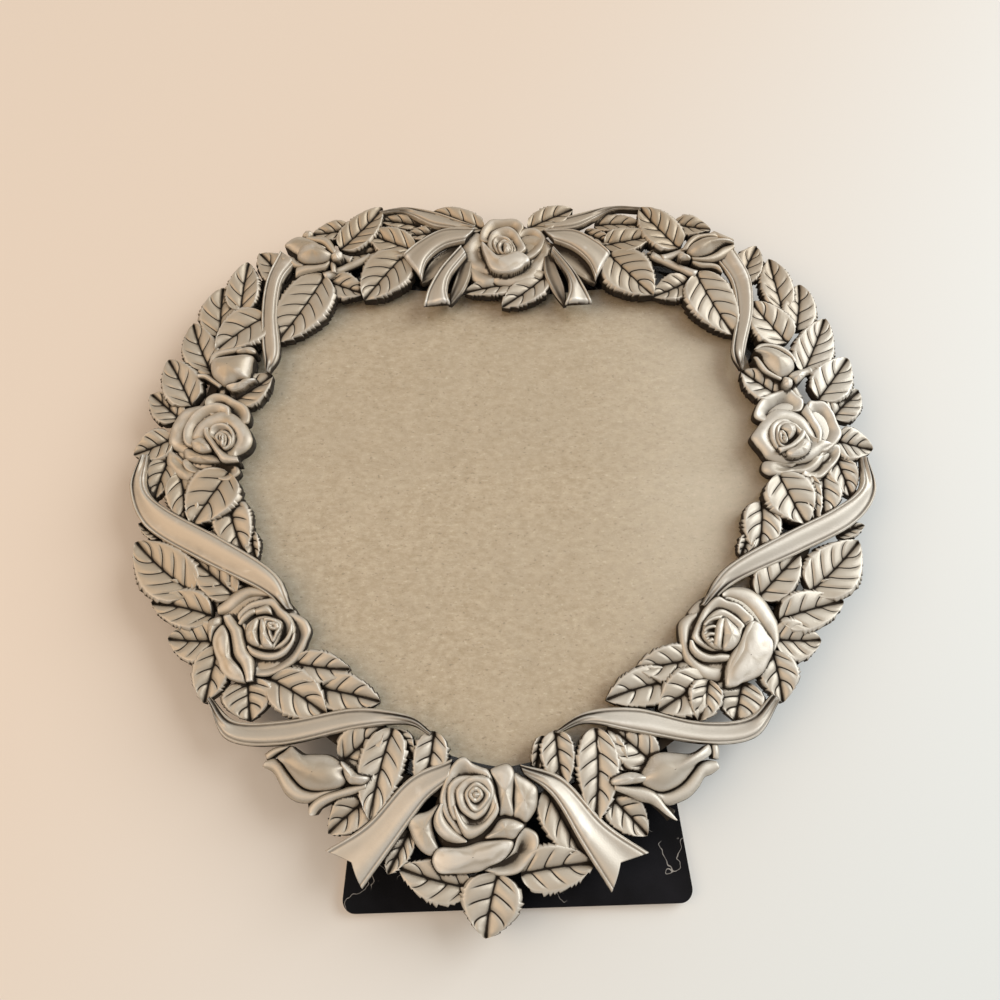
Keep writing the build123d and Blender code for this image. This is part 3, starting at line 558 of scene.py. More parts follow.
def leaf_outline(u, v, length, width, kind):
    """Half the leaf's width at u, and each point's distance from the straight midrib."""
    widest = STEM_CURVE / (STEM_CURVE + TIP_CURVE)
    half = width / 2 * (u / widest) ** STEM_CURVE * ((1 - u) / (1 - widest)) ** TIP_CURVE
    # saw teeth point to the tip, no two alike
    turn = u * length / TOOTH_PITCH + 0.35 * np.sin(19 * u + kind) + 0.4 * np.sign(v)
    teeth = TOOTH_DEPTH * (1 - turn % 1.0) * (0.75 + 0.25 * np.sin(7.3 * np.floor(turn) + kind))
    teeth = teeth * smoothstep(0.02, 0.14, u) * smoothstep(0.0, 0.08, 1 - u)
    teeth = teeth - 0.5 * TOOTH_DEPTH * smoothstep(0.0, 2.0, half)
    bow = 0.12 * math.sin(2.4 * kind) * length * u * (1 - u)
    return half, v * (half + teeth * np.abs(v) ** 7) + bow


def leaf_veins(u, v, length, width, kind):
    """The side veins' phase and spacing, the distance from one, and how much it is cut."""
    w = np.abs(v)
    count = max(3, round(length / VEIN_PITCH))
    # the side veins lean to the tip, and those of one side start past the other's
    lean = (VEIN_LEAN + 0.06 * math.sin(1.7 * kind)) * w ** VEIN_CURVE * min(width / length, 0.72)
    phase = (u - lean - VEINS_START) * count / VEINS_SPAN + TWO_SIDES_APART * np.tanh(v / 0.06)
    spacing = length * VEINS_SPAN / count * 0.85
    away = np.abs((phase + 0.5) % 1.0 - 0.5) * spacing
    # each stops short of the margin, and there is none past the first and the last
    stop = 0.86 + 0.08 * np.sin(5 * np.round(phase) + kind)
    lined = smoothstep(stop, stop - 0.28, w) * smoothstep(0.0, 0.10, 1 - u)
    lined = lined * smoothstep(-0.6, -0.4, phase) * smoothstep(count - 0.35, count - 0.55, phase)
    return phase, spacing, away, lined


print("a leaf of 20 mm has", max(3, round(20 / VEIN_PITCH)), "veins a side")

# %% One leaf
ALONG_STEP, ACROSS_STEP = 0.20, 0.48     # the mesh's steps, in mm
FOLD_DEPTH, BULGE_HEIGHT, ARCH_HEIGHT, SWAY, MARGIN_ROLL = 0.90, 0.42, 0.55, 0.30, 0.55
SIDE_VEIN, MIDRIB = (0.30, 0.58), (0.28, 0.40)      # depth and half width, in mm
SUNK = 0.15


def leaf_form(into, stem, tip, width, stem_lift, tip_lift, kind):
    """A leaf from stem to tip; kind is a number that makes it differ from the others."""
    stem, tip = np.array(stem, float), np.array(tip, float)
    run = tip - stem
    length = np.hypot(*run)
    width = width * TEETH_WIDEN
    rows = max(30, int(length / ALONG_STEP))
    columns = 2 * max(10, int(width / ACROSS_STEP)) + 1
    u = np.linspace(0.003, 0.998, rows)[:, None]
    v = np.linspace(-1, 1, columns)[None, :]
    v = np.sign(v) * (1 - (1 - np.abs(v)) ** 1.15)
    w = np.abs(v)
    half, y = leaf_outline(u, v, length, width, kind)
    phase, spacing, away, lined = leaf_veins(u, v, length, width, kind)
    # the height over the margin's level: fold, bulges, arch, sway, rolled margin and veins
    valley = -FOLD_DEPTH * (1 - w) ** 1.2 * smoothstep(0, 0.25, half / 3)
    bulge = BULGE_HEIGHT * np.clip(1 - (2 * w - 1.0) ** 2, 0, 1)
    bulge = bulge * smoothstep(0.0, 0.3, u) * smoothstep(0.0, 0.12, 1 - u)
    arch = ARCH_HEIGHT * 4 * u * (1 - u)
    sway = SWAY * np.sin(2.2 * u * np.pi + kind) * v
    roll = -MARGIN_ROLL * smoothstep(0.86, 1.0, w)
    side_veins = SIDE_VEIN[0] * np.exp(-(away / SIDE_VEIN[1]) ** 2) * lined
    midrib = MIDRIB[0] * np.exp(-(w * half / MIDRIB[1]) ** 2)
    level = LEDGE + LEAF_THICKNESS + stem_lift + (tip_lift - stem_lift) * u
    z = level + valley + bulge + arch + sway + roll - side_veins - midrib - SUNK
    along, aside = run / length, np.array([-run[1], run[0]]) / length
    flat = stem + along * (u * length)[..., None] + aside * y[..., None]
    # the dip stays along the midrib, the veins and the margin, painted shade darkens a broad band in the
    # midrib's fold, and a cloth reaches the rest
    rubbed = 0.5 * smoothstep(0.74, 0.88, w) * (1 - smoothstep(0.93, 1.0, w)) + 0.5 * bulge
    darkened = 0.35 * smoothstep(0.90, 1.0, w) + 0.26 * np.exp(-(w * half / 0.6) ** 2)
    darkened = darkened + 0.15 * np.exp(-(away / 0.4) ** 2) * lined + 0.16 * np.exp(-(w * half / 1.7) ** 2)
    # backs lie at nine heights a hair apart, so that no two meet in one plane
    closed_grid(into, np.concatenate([flat, z[..., None]], axis=-1), floor=LEDGE + 0.01 * (kind % 9),
                patina=darkened, rubbed=rubbed, phase=phase, spacing=spacing, aside=v * half, lined=lined)


trial = Gathering("trial")
leaf_form(trial, (0, 0), (20, 0), 12, 1.0, 0.5, 0)
print("a leaf of 20 by 12 mm has", trial.count, "points")

# %% [markdown]
# ## Ribbons
# A ribbon is a band between two edges with a thin groove just inside each edge and a low
# crown between them. It gathers into soft folds towards a narrow end. A curve with a bevel
# would give it one width; here each edge has its own places, because a cast ribbon widens
# and narrows as it turns. The bow's loops are such bands too: the near one turns down at its
# fold, and the far one is hollow, with painted shade on it because it is seen from inside.

# %% One ribbon
RIBBON_STEP, RIBBON_COLUMNS = 0.35, 35
FOLD_RADIUS = 1.3
FOLD_DROP = 1.1
GROOVE_INSET, GROOVE_HALF_WIDTH, GROOVE_DEPTH = 0.85, 0.30, 0.30
EDGE_DROP, CROWN_HEIGHT, GUTTER_DEPTH, GATHER_DEPTH = 0.60, 0.30, 0.45, 0.34


def ribbon_form(into, edge_a, edge_b, lift, notch=0.0, folded=False, inside=False):
    """A band between two edges. A notch, in mm, is cut into its end as on a swallow tail."""
    length = max(path_length(edge_a), path_length(edge_b))
    rows = max(36, int(length / RIBBON_STEP))
    t = arc_steps(RIBBON_COLUMNS)
    u = np.linspace(0, 1, rows)[:, None] * (1 - notch / length * (1 - np.abs(2 * t - 1)))
    samples = 4 * rows
    at, every = u * (samples - 1), np.arange(samples)
    one, other = (np.stack([np.interp(at, every, axis) for axis in through(edge, samples).T], axis=-1)
                  for edge in (edge_a, edge_b))
    across = one * (1 - t[..., None]) + other * t[..., None]
    width = np.linalg.norm(other - one, axis=-1)
    from_edge = np.minimum(t, 1 - t) * width
    inset = np.minimum(GROOVE_INSET, 0.22 * width)
    bow = 1 - (2 * t - 1) ** 2
    gathered = 1 - smoothstep(2.0, 5.0, width)
    crown = CROWN_HEIGHT * bow - GUTTER_DEPTH * np.sin(2 * np.pi * t) * smoothstep(3.0, 5.0, width)
    bead = -EDGE_DROP * smoothstep(0.45, 0.0, from_edge)
    folds = GATHER_DEPTH * gathered * np.cos(5 * np.pi * t) * (1 - 0.7 * inside)
    groove = np.exp(-((from_edge - inset) / GROOVE_HALF_WIDTH) ** 2) * smoothstep(1.2, 2.6, width)
    groove = groove * (1 - 0.8 * inside)
    over = np.clip((u - 1) * length / FOLD_RADIUS + 1, 0, 0.98) * folded
    turn = FOLD_DROP * (1 - np.sqrt(1 - over ** 2))
    hollow = 0.5 * bow * inside
    z = LEDGE + lift + RIBBON_THICKNESS + crown + bead + folds - GROOVE_DEPTH * groove - turn - hollow
    # patina and painted shade in the grooves and gathered folds; painted shade alone in a band along one side
    # and inside a far loop
    shaded = 0.25 * gathered + 0.28 * groove + 0.26 * smoothstep(0.60, 0.30, t) * smoothstep(0.0, 0.30, t)
    shaded = shaded + 0.30 * inside * (1 - (2 * t - 1) ** 4)
    lined = 0.30 * smoothstep(1.6, 3.0, width) * (1 - inside)
    rubbed = (0.5 * smoothstep(0.10, 0.25, from_edge) + 0.5 * (over > 0)) * (1 - 0.8 * inside)
    closed_grid(into, np.concatenate([across, z[..., None]], axis=2), floor=LEDGE + lift, notched=notch > 0,
                patina=shaded, aside=from_edge - inset, lined=lined, rubbed=rubbed)


trial = Gathering("trial")
ribbon_form(trial, [(0, 0), (15, 2), (30, 0)], [(0, 4), (15, 7), (30, 3)], 1.0)
print("a ribbon of 30 mm has", trial.count, "points")

# %% [markdown]
# ## Petals
# A rose is built up from overlapping petals, largest first. Sculpting would be the hand's
# way. In a script each petal is a closed form with a smooth rim round a hub, and the cut
# across it, from the rim inwards, says what kind it is: a bowl falls away inside its rim, a
# lip rolls outwards, and a bulge, a swell and a dome rise to the middle. A fold is a round
# band between two edges, such as the turned-over rim of a petal.

# %% The cuts across a petal
# in from the rim, and over the level of the crest, in millimetres
PETAL_CUTS = {
    "bowl": [(0, -1.2), (0.05, -0.7), (0.18, -0.3), (0.42, -0.06), (0.8, 0), (1.3, -0.12), (2, -0.5),
             (3, -1.1), (4.5, -1.7), (7, -2.1), (30, -2.3)],
    "cup": [(0, -1.4), (0.05, -0.7), (0.15, -0.25), (0.35, -0.03), (0.6, 0), (0.9, -0.15), (1.4, -0.7),
            (2, -1.3), (3, -1.8), (30, -2)],
    "lip": [(0, -1.9), (0.06, -1.35), (0.25, -0.95), (0.7, -0.55), (1.3, -0.2), (2.1, 0), (3, -0.15),
            (4, -0.6), (5.5, -1.2), (8, -1.7), (30, -1.9)],
    "bulge": [(0, -1.1), (0.05, -0.65), (0.2, -0.3), (0.5, 0), (1, 0.3), (1.8, 0.55), (3, 0.7), (30, 0.75)],
    "swell": [(0, -1.3), (0.05, -0.7), (0.2, -0.25), (0.5, 0.05), (0.9, 0.2), (1.5, 0.3), (2.5, 0.55),
              (4, 0.8), (30, 0.9)],
    "dome": [(0, -1.6), (0.05, -1), (0.3, -0.35), (0.8, 0.35), (1.6, 1.05), (2.6, 1.6), (4, 2), (6, 2.15),
             (30, 2.2)],
}
# steps from the rim to the hub, closer together at the rim
RIM_STEPS = np.array([0, 0.04, 0.1, 0.19, 0.3, 0.44, 0.62, 0.84, 1.1, 1.4,
                      1.75, 2.15, 2.6, 3.1, 3.7, 4.4, 5.2, 6.2, 7.3, 8.6])
print("kinds of petal:", ", ".join(PETAL_CUTS))

# %% One petal
PETAL_STEP = 0.32
WAVINESS = 0.10                  # of a petal's rim, in mm


def even_out(values, share):
    """Values smoothed round the petal, the more the farther in, so no crease runs to a corner."""
    waves = np.fft.fftfreq(len(values), 1 / len(values))[:, None]
    drop = np.exp(-(waves * 0.5 * np.clip(share - 0.04, 0, 1)[None, :]) ** 2)
    return np.real(np.fft.ifft(np.fft.fft(values, axis=0) * drop, axis=0))


def petal_skin(kind, height, hub, rim):
    """The petal's points from its rim inwards, and how far in each column is."""
    hub = np.array(from_photo(*hub, height))
    outline = np.array([from_photo(*place, height) for place in rim])
    around = int(np.clip(path_length(outline) / PETAL_STEP, 48, 210))
    outline = through(outline, around, closed=True)
    inward = hub - outline
    distance = np.hypot(*inward.T)[:, None]
    inset = RIM_STEPS * np.minimum(1, 0.96 * distance / RIM_STEPS[-1])
    share = inset / distance
    place = outline[:, None, :] + inward[:, None, :] * share[..., None]
    for axis in (0, 1):
        place[..., axis] = even_out(place[..., axis], share.mean(0))
    inwards, rise = np.array(PETAL_CUTS[kind], float).T
    angle = np.linspace(0, 2 * np.pi, around, endpoint=False)[:, None]
    wave = WAVINESS * (np.sin(3 * angle + outline[0, 0]) + 0.6 * np.sin(7 * angle + outline[0, 1]))
    z = even_out(height + np.interp(inset, inwards, rise), share.mean(0))
    # the wave and whatever isn't even fade out before the hub, or they would meet in a star
    z = z.mean(0) + (z - z.mean(0) + wave * np.exp(-inset / 3)) * smoothstep(0.0, 0.5, 1 - share)
    return hub, np.concatenate([place, z[..., None]], axis=2), inset


def petal_form(into, kind, level, hub, rim, floor=LEDGE + 0.3):
    """A petal closed by its hub, a wall down from its rim and a flat back."""
    hub, skin, inset = petal_skin(kind, LEDGE + level, hub, rim)
    around, columns = skin.shape[:2]
    top = skin.reshape(-1, 3)
    low = skin[:, 0].copy()
    low[:, 2] = floor
    points = np.vstack([top, low, [[*hub, skin[:, -1, 2].mean()], [*hub, floor]]])
    k = np.arange(around)
    after = (k + 1) % around
    foot, foot_after = len(top) + k, len(top) + after
    high_hub, low_hub = (np.full(around, len(top) + around + end) for end in (0, 1))
    rim, rim_after, last = k * columns, after * columns, columns - 1
    quads = [np.stack([rim + c, rim_after + c, rim_after + c + 1, rim + c + 1], axis=1) for c in range(last)]
    quads.append(np.stack([rim + last, rim_after + last, high_hub, high_hub], axis=1))
    quads.append(np.stack([rim_after, rim, foot, foot_after], axis=1))
    quads.append(np.stack([foot_after, foot, low_hub, low_hub], axis=1))
    # patina and painted shade darken a hollow and the rim's foot, and a cloth reaches the rim's crest
    hollow = kind in ("bowl", "cup")
    hollow_darkening = 0.50 * smoothstep(1.2, 3.6, inset) * hollow + 0.35 * smoothstep(0.25, 0.0, inset)
    light = 0.5 * smoothstep(0.2, 0.6, inset) * (1 - smoothstep(1.2, 2.4, inset))
    into.add(points, np.vstack(quads), patina=np.append(hollow_darkening, np.ones(around + 2)),
             rubbed=np.append(light, np.zeros(around + 2)))


trial = Gathering("trial")
petal_form(trial, "bowl", 4.0, (0, 0), [(6, 0), (0, 6), (-6, 0), (0, -6)])
print("a petal of 12 mm has", trial.count, "points")

# %% One fold
FOLD_STEP, FOLD_COLUMNS = 0.3, 19
FOLD_HEIGHT, FOLD_SLOPE = 1.6, 0.48      # no fold is higher than this, nor than this share of its width


def fold_form(into, level, edge_a, edge_b):
    """A round band between two edges that sinks a little at both ends."""
    height = LEDGE + level
    one, other = (np.array([from_photo(*place, height) for place in edge]) for edge in (edge_a, edge_b))
    rows = max(18, int(path_length(one) / FOLD_STEP))
    one, other = through(one, rows), through(other, rows)
    t = arc_steps(FOLD_COLUMNS)
    across = one[:, None, :] * (1 - t[..., None]) + other[:, None, :] * t[..., None]
    rise = np.minimum(FOLD_HEIGHT, FOLD_SLOPE * np.hypot(*(other - one).T))[:, None]
    crown = (1 - np.abs(2 * t - 1) ** 2.3) ** 0.62
    ends = 0.35 + 0.65 * np.sin(np.linspace(0.02, np.pi - 0.02, rows)) ** 0.4
    z = height - rise + rise * crown * ends[:, None]
    # the band's sides are darker than its crown: patina and painted shade
    closed_grid(into, np.concatenate([across, z[..., None]], axis=2),
                patina=0.25 * (1 - crown), rubbed=0.45 * smoothstep(0.75, 1.0, crown))


fold_form(trial, 4.0, [(0, 0), (6, 1), (12, 0)], [(0, 2), (6, 3), (12, 2)])
print("with a fold of 12 mm it has", trial.count)

# %% [markdown]
# ## Stalks and bosses
# The stalks of roses and buds are thin round rods, and the bosses that take the button
# screws are thick short ones. A cylinder primitive would do for one of them. One function
# makes all, because they go into the same gatherings as the buds and the wall.

# %% One rod
ROD_STEPS = 13
ROD_FLARE = 0.25                 # its ends are thicker by this share


def rod_form(into, start, end, radius, around=28):
    """A round rod from one place to another, a little thicker at its ends."""
    start, end = np.array(start, float), np.array(end, float)
    run = (end - start) / np.linalg.norm(end - start)
    side = np.cross(run, (0, 0, 1.0) if abs(run[2]) < 0.9 else (1.0, 0, 0))
    side /= np.linalg.norm(side)
    rise = np.cross(side, run)
    angle = np.linspace(0, 2 * np.pi, around, endpoint=False)
    u = np.linspace(0, 1, ROD_STEPS)
    girth = radius * (1 + ROD_FLARE * np.abs(2 * u - 1) ** 4)
    ring = np.cos(angle)[None, :, None] * side + np.sin(angle)[None, :, None] * rise
    points = (start + u[:, None, None] * (end - start) + girth[:, None, None] * ring).reshape(-1, 3)
    k = np.arange(around)
    after = (k + 1) % around
    first, last = (np.full(around, len(points) + end_point) for end_point in (0, 1))
    to_end = len(points) - around
    quads = [grid_quads(ROD_STEPS, around, wrap=True)[:, ::-1], np.stack([k, after, first, first], axis=1),
             np.stack([to_end + after, to_end + k, last, last], axis=1)]
    # painted shade on the underside of each rod
    painted_underside_shade = np.broadcast_to(0.7 * smoothstep(0.2, -0.6, rise[2] * np.sin(angle)), (ROD_STEPS, around))
    into.add(np.vstack([points, [start, end]]), np.vstack(quads),
             patina=np.append(painted_underside_shade, [0.8, 0.8]), rubbed=0.2)


rod_form(trial, (0, 0, 0), (10, 0, 0), 1.2)
print("and with a stalk", trial.count)

# %% [markdown]
# ## The wall round the seat
# Behind the leaves the casting has a wall that holds the glass and the board, out of sight
# from the front. Its outline is the back's, set off a little. The back is cut to arcs, each
# through three places, so the outline is worked out from those instead of being traced.

# %% The back's outline and the wall
# arcs through three places, down the right half
BACK_ARCS = [
    ((0.0, 70.0), (18.0, 72.3), (37.0, 74.0)),
    ((37.0, 74.0), (65.0, 62.5), (76.5, 36.0)),
    ((76.5, 36.0), (79.0, 14.0), (76.5, -8.0)),
    ((76.5, -8.0), (65.0, -31.0), (48.0, -49.0)),
    ((48.0, -49.0), (27.0, -63.8), (0.0, -72.0)),
]
ARC_STEPS = 14
WALL_CLEARANCE, WALL_THICKNESS = 0.4, 2.2


def arc_through(first, middle, last):
    """Places along the arc through three places, without its last one."""
    (ax, ay), (bx, by), (cx, cy) = first, middle, last
    twice = 2 * (ax * (by - cy) + bx * (cy - ay) + cx * (ay - by))
    a, b, c = (x * x + y * y for x, y in (first, middle, last))
    centre = np.array([a * (by - cy) + b * (cy - ay) + c * (ay - by),
                       a * (cx - bx) + b * (ax - cx) + c * (bx - ax)]) / twice
    start, end = (math.atan2(y - centre[1], x - centre[0]) for x, y in (first, last))
    turn = (end - start + math.pi) % (2 * math.pi) - math.pi
    angles = start + turn * np.arange(ARC_STEPS) / ARC_STEPS
    return centre + math.hypot(*(centre - first)) * np.stack([np.cos(angles), np.sin(angles)], axis=1)


def back_outline():
    """The back's outline, clockwise from the top, and the way outwards at each place."""
    right = np.vstack([arc_through(*arc) for arc in BACK_ARCS] + [[BACK_ARCS[-1][2]]])
    outline = np.vstack([right, (right * (-1, 1))[-2:0:-1]])
    way = np.roll(outline, -1, axis=0) - np.roll(outline, 1, axis=0)
    return outline, np.stack([-way[:, 1], way[:, 0]], axis=1) / np.hypot(*way.T)[:, None]


def wall_form(into, low, high):
    """The wall round the seat of the back and the glass, a ring of four edges."""
    outline, outwards = back_outline()
    near = outline + outwards * WALL_CLEARANCE
    far = outline + outwards * (WALL_CLEARANCE + WALL_THICKNESS)
    edges = ((near, low), (far, low), (far, high), (near, high))
    points = np.vstack([np.column_stack([side, np.full(len(side), z)]) for side, z in edges])
    # the wall under the leaves is darkened with patina and painted shade
    into.add(points, grid_quads(5, len(outline), wrap=True) % len(points), patina=0.55)


outline, outwards = back_outline()
print("the back measures", np.round(np.ptp(outline, axis=0), 1), "mm")

# %% [markdown]
# ## The layout of the leaves
# The large leaves repeat those of the CAD model, with fifteen small ones between them that
# the solid doesn't need. The wreath's halves are close to mirror images, but only close, so
# no half is made by mirroring the other. A leaf is stem x, y, tip x, y, width, and the
# heights of its stem and its tip over the wreath's flat back, all in millimetres.

# %% Leaves of the left half, from the top of the heart down
LEFT_LEAVES = [
    (-5.5, 84.3, -20.5, 90.6, 8.0, 1.3, 0.9),
    (-25.5, 77.0, -39.6, 82.7, 10.0, 1.1, 1.3),
    (-46.8, 77.1, -35.3, 91.3, 10.0, 1.5, 1.6),
    (-44.5, 85.0, -55.5, 82.3, 7.0, 0.5, 0.6),
    (-28.5, 74.8, -39.0, 60.0, 14.0, 1.9, 1.2),
    (-50.0, 66.8, -38.5, 62.3, 8.5, 0.6, 0.3),
    (-50.8, 67.8, -63.0, 46.0, 14.5, 1.8, 0.8),
    (-62.0, 66.0, -70.3, 76.3, 9.0, 0.7, 0.2),
    (-73.5, 56.0, -73.0, 72.7, 9.7, 1.2, 0.8),
    (-78.5, 48.5, -79.6, 64.6, 11.5, 0.5, 0.1),
    (-66.0, 54.5, -78.6, 43.5, 12.5, 1.7, 1.6),
    (-79.8, 38.0, -86.6, 52.8, 10.0, 0.9, 0.0),
    (-83.3, 27.0, -91.6, 41.0, 10.5, 1.5, 0.6),
    (-86.0, 23.0, -95.0, 30.8, 9.0, 0.8, 0.0),
    (-87.0, 17.5, -96.9, 12.8, 9.0, 1.0, 0.3),
    (-87.0, 13.0, -89.8, 0.0, 8.0, 0.4, 0.1),
    (-84.0, 7.5, -79.5, -7.5, 9.0, 0.9, 0.7),
    (-71.0, 7.5, -78.8, -6.7, 14.0, 2.0, 1.3),
    (-70.5, 0.0, -64.8, -14.5, 10.0, 1.0, 0.4),
    (-76.3, -24.3, -92.5, -11.0, 13.5, 1.4, 0.3),
    (-66.0, -25.0, -77.3, -16.0, 9.5, 0.8, 0.7),
    (-63.0, -22.5, -69.5, -18.5, 6.0, 0.1, 0.2),
    (-70.5, -28.5, -76.5, -18.0, 6.0, 0.2, 0.2),
    (-70.8, -30.0, -86.2, -26.7, 9.8, 1.6, 0.5),
    (-69.0, -36.0, -80.9, -35.5, 10.6, 1.1, 0.4),
    (-68.0, -37.5, -70.0, -50.8, 9.3, 1.8, 0.9),
    (-60.5, -45.0, -59.0, -54.8, 12.0, 0.8, 0.2),
    (-54.8, -45.3, -41.0, -53.5, 11.0, 1.4, 1.0),
    (-50.0, -41.3, -36.3, -42.8, 8.0, 1.0, 0.6),
    (-44.5, -47.0, -28.8, -50.3, 9.3, 0.4, 0.3),
    (-37.0, -64.0, -27.5, -56.0, 10.0, 0.7, 0.8),
    (-25.5, -56.3, -29.6, -76.2, 10.5, 1.3, 1.8),
    (-15.8, -57.0, -18.5, -71.0, 8.0, 1.7, 0.6),
    (-29.5, -71.0, -39.0, -79.0, 9.0, 0.9, 0.1),
    (-20.8, -78.5, -25.3, -87.3, 6.0, 0.5, 0.0),
    (-7.0, -90.0, -23.0, -86.0, 9.0, 1.0, 0.1),
    (-1.0, -87.0, -3.6, -99.8, 13.0, 1.6, 0.4),
]
print(len(LEFT_LEAVES), "leaves")

# %% Leaves of the right half, from the bottom of the heart up
RIGHT_LEAVES = [
    (4.0, -87.3, 20.5, -85.0, 10.0, 0.9, 0.2),
    (10.0, -69.5, 18.5, -84.5, 10.0, 0.4, 0.1),
    (12.3, -56.8, 13.8, -70.0, 8.0, 1.7, 0.8),
    (21.7, -56.3, 20.6, -77.0, 9.8, 1.2, 1.6),
    (35.0, -64.5, 24.5, -56.0, 10.0, 0.6, 0.5),
    (23.0, -57.5, 28.3, -65.8, 6.0, 0.2, 0.9),
    (24.0, -71.0, 32.4, -79.4, 9.0, 0.9, 0.1),
    (41.0, -45.2, 24.4, -49.9, 9.6, 0.4, 0.3),
    (46.5, -40.0, 31.8, -42.5, 9.0, 1.0, 0.6),
    (49.0, -45.3, 36.5, -52.5, 11.0, 1.4, 1.0),
    (57.0, -45.5, 54.5, -54.8, 12.0, 0.8, 0.2),
    (64.5, -38.5, 65.8, -50.6, 9.5, 1.8, 0.9),
    (65.5, -35.6, 77.0, -35.7, 10.4, 1.1, 0.4),
    (67.3, -31.0, 83.8, -26.3, 10.0, 1.6, 0.5),
    (63.0, -25.3, 74.5, -14.0, 10.0, 0.8, 0.7),
    (75.8, -24.0, 90.0, -10.8, 13.0, 1.4, 0.3),
    (66.5, -0.5, 64.0, -14.5, 10.0, 1.0, 0.4),
    (71.5, 7.0, 77.0, -6.8, 13.0, 2.0, 1.3),
    (83.5, 7.5, 81.5, -5.0, 9.0, 0.8, 0.5),
    (87.3, 12.5, 89.8, 0.8, 8.0, 0.4, 0.1),
    (88.0, 17.0, 97.4, 14.3, 9.5, 1.0, 0.3),
    (88.2, 23.5, 96.6, 31.8, 9.3, 0.8, 0.0),
    (84.8, 28.7, 94.7, 41.5, 11.0, 1.5, 0.6),
    (82.0, 37.0, 90.4, 54.5, 11.0, 0.9, 0.0),
    (78.6, 46.3, 70.0, 59.0, 12.0, 1.6, 1.5),
    (81.8, 50.5, 84.6, 65.7, 9.8, 0.5, 0.1),
    (78.7, 57.0, 76.8, 74.0, 9.5, 1.2, 0.8),
    (67.5, 66.0, 74.0, 78.6, 9.0, 0.7, 0.2),
    (55.3, 68.5, 64.5, 48.5, 14.0, 1.8, 0.8),
    (53.0, 66.8, 42.3, 61.5, 8.5, 0.6, 0.3),
    (30.8, 75.0, 42.6, 61.4, 14.5, 1.9, 1.2),
    (50.0, 86.5, 61.0, 84.3, 7.0, 0.5, 0.6),
    (51.0, 77.6, 40.2, 91.5, 11.5, 1.5, 1.6),
    (29.5, 79.0, 43.6, 82.0, 9.0, 1.1, 1.3),
    (27.0, 86.5, 41.0, 86.0, 6.5, 0.2, 0.3),
    (7.5, 84.6, 20.8, 91.4, 8.0, 1.3, 0.9),
]
print(len(RIGHT_LEAVES), "leaves")

# %% Leaves inside the heart, and the small leaves
# under the top rose, beside the two side roses, and over the lower right ribbon
INNER_LEAVES = [
    (4.0, 66.0, -10.8, 62.7, 7.0, 0.5, 0.3),
    (12.5, 68.5, -0.2, 58.0, 9.0, 1.1, 0.5),
    (-72.3, 28.3, -62.5, 36.2, 9.5, 1.3, 0.8),
    (74.0, 30.0, 65.0, 37.5, 9.5, 1.3, 0.8),
    (48.7, -45.5, 45.6, -54.8, 8.0, 2.1, 1.6),
]
# between the larger ones
SMALL_LEAVES = [
    (-24.0, 86.0, -37.5, 87.5, 5.0, 0.2, 0.3),
    (-19.0, 84.0, -28.5, 82.0, 5.0, 0.3, 0.4),
    (-46.0, 75.3, -35.5, 77.0, 5.5, 0.1, 0.2),
    (-64.0, -8.0, -61.6, -16.2, 4.0, 0.2, 0.3),
    (-86.0, -9.5, -92.5, -6.0, 4.0, 0.3, 0.3),
    (-78.0, -23.0, -84.8, -22.8, 4.0, 0.1, 0.0),
    (-25.0, -57.0, -20.5, -63.0, 5.0, 0.3, 0.4),
    (9.5, -58.0, 7.5, -66.0, 4.0, 0.2, 0.3),
    (78.0, -23.0, 82.8, -22.0, 4.0, 0.1, 0.0),
    (85.0, -9.5, 92.0, -6.5, 4.0, 0.3, 0.3),
    (62.8, -9.0, 59.6, -15.0, 4.0, 0.2, 0.3),
    (79.5, 6.5, 79.5, -6.0, 5.0, 1.4, 1.0),
    (50.0, 77.0, 41.5, 75.5, 5.0, 0.1, 0.2),
    (24.0, 84.0, 31.5, 79.5, 5.0, 0.3, 0.4),
]
LEAVES = [*LEFT_LEAVES, *RIGHT_LEAVES, *INNER_LEAVES, *SMALL_LEAVES]
print(len(LEAVES), "leaves")

# %% [markdown]
# ## The layout of the ribbons
# Each ribbon is its two edges from end to end and its height over the flat back. The bow has
# four loops, each of a near band from the knot to the fold and a far band behind it. The two
# swallow tails hang from the bottom rose.

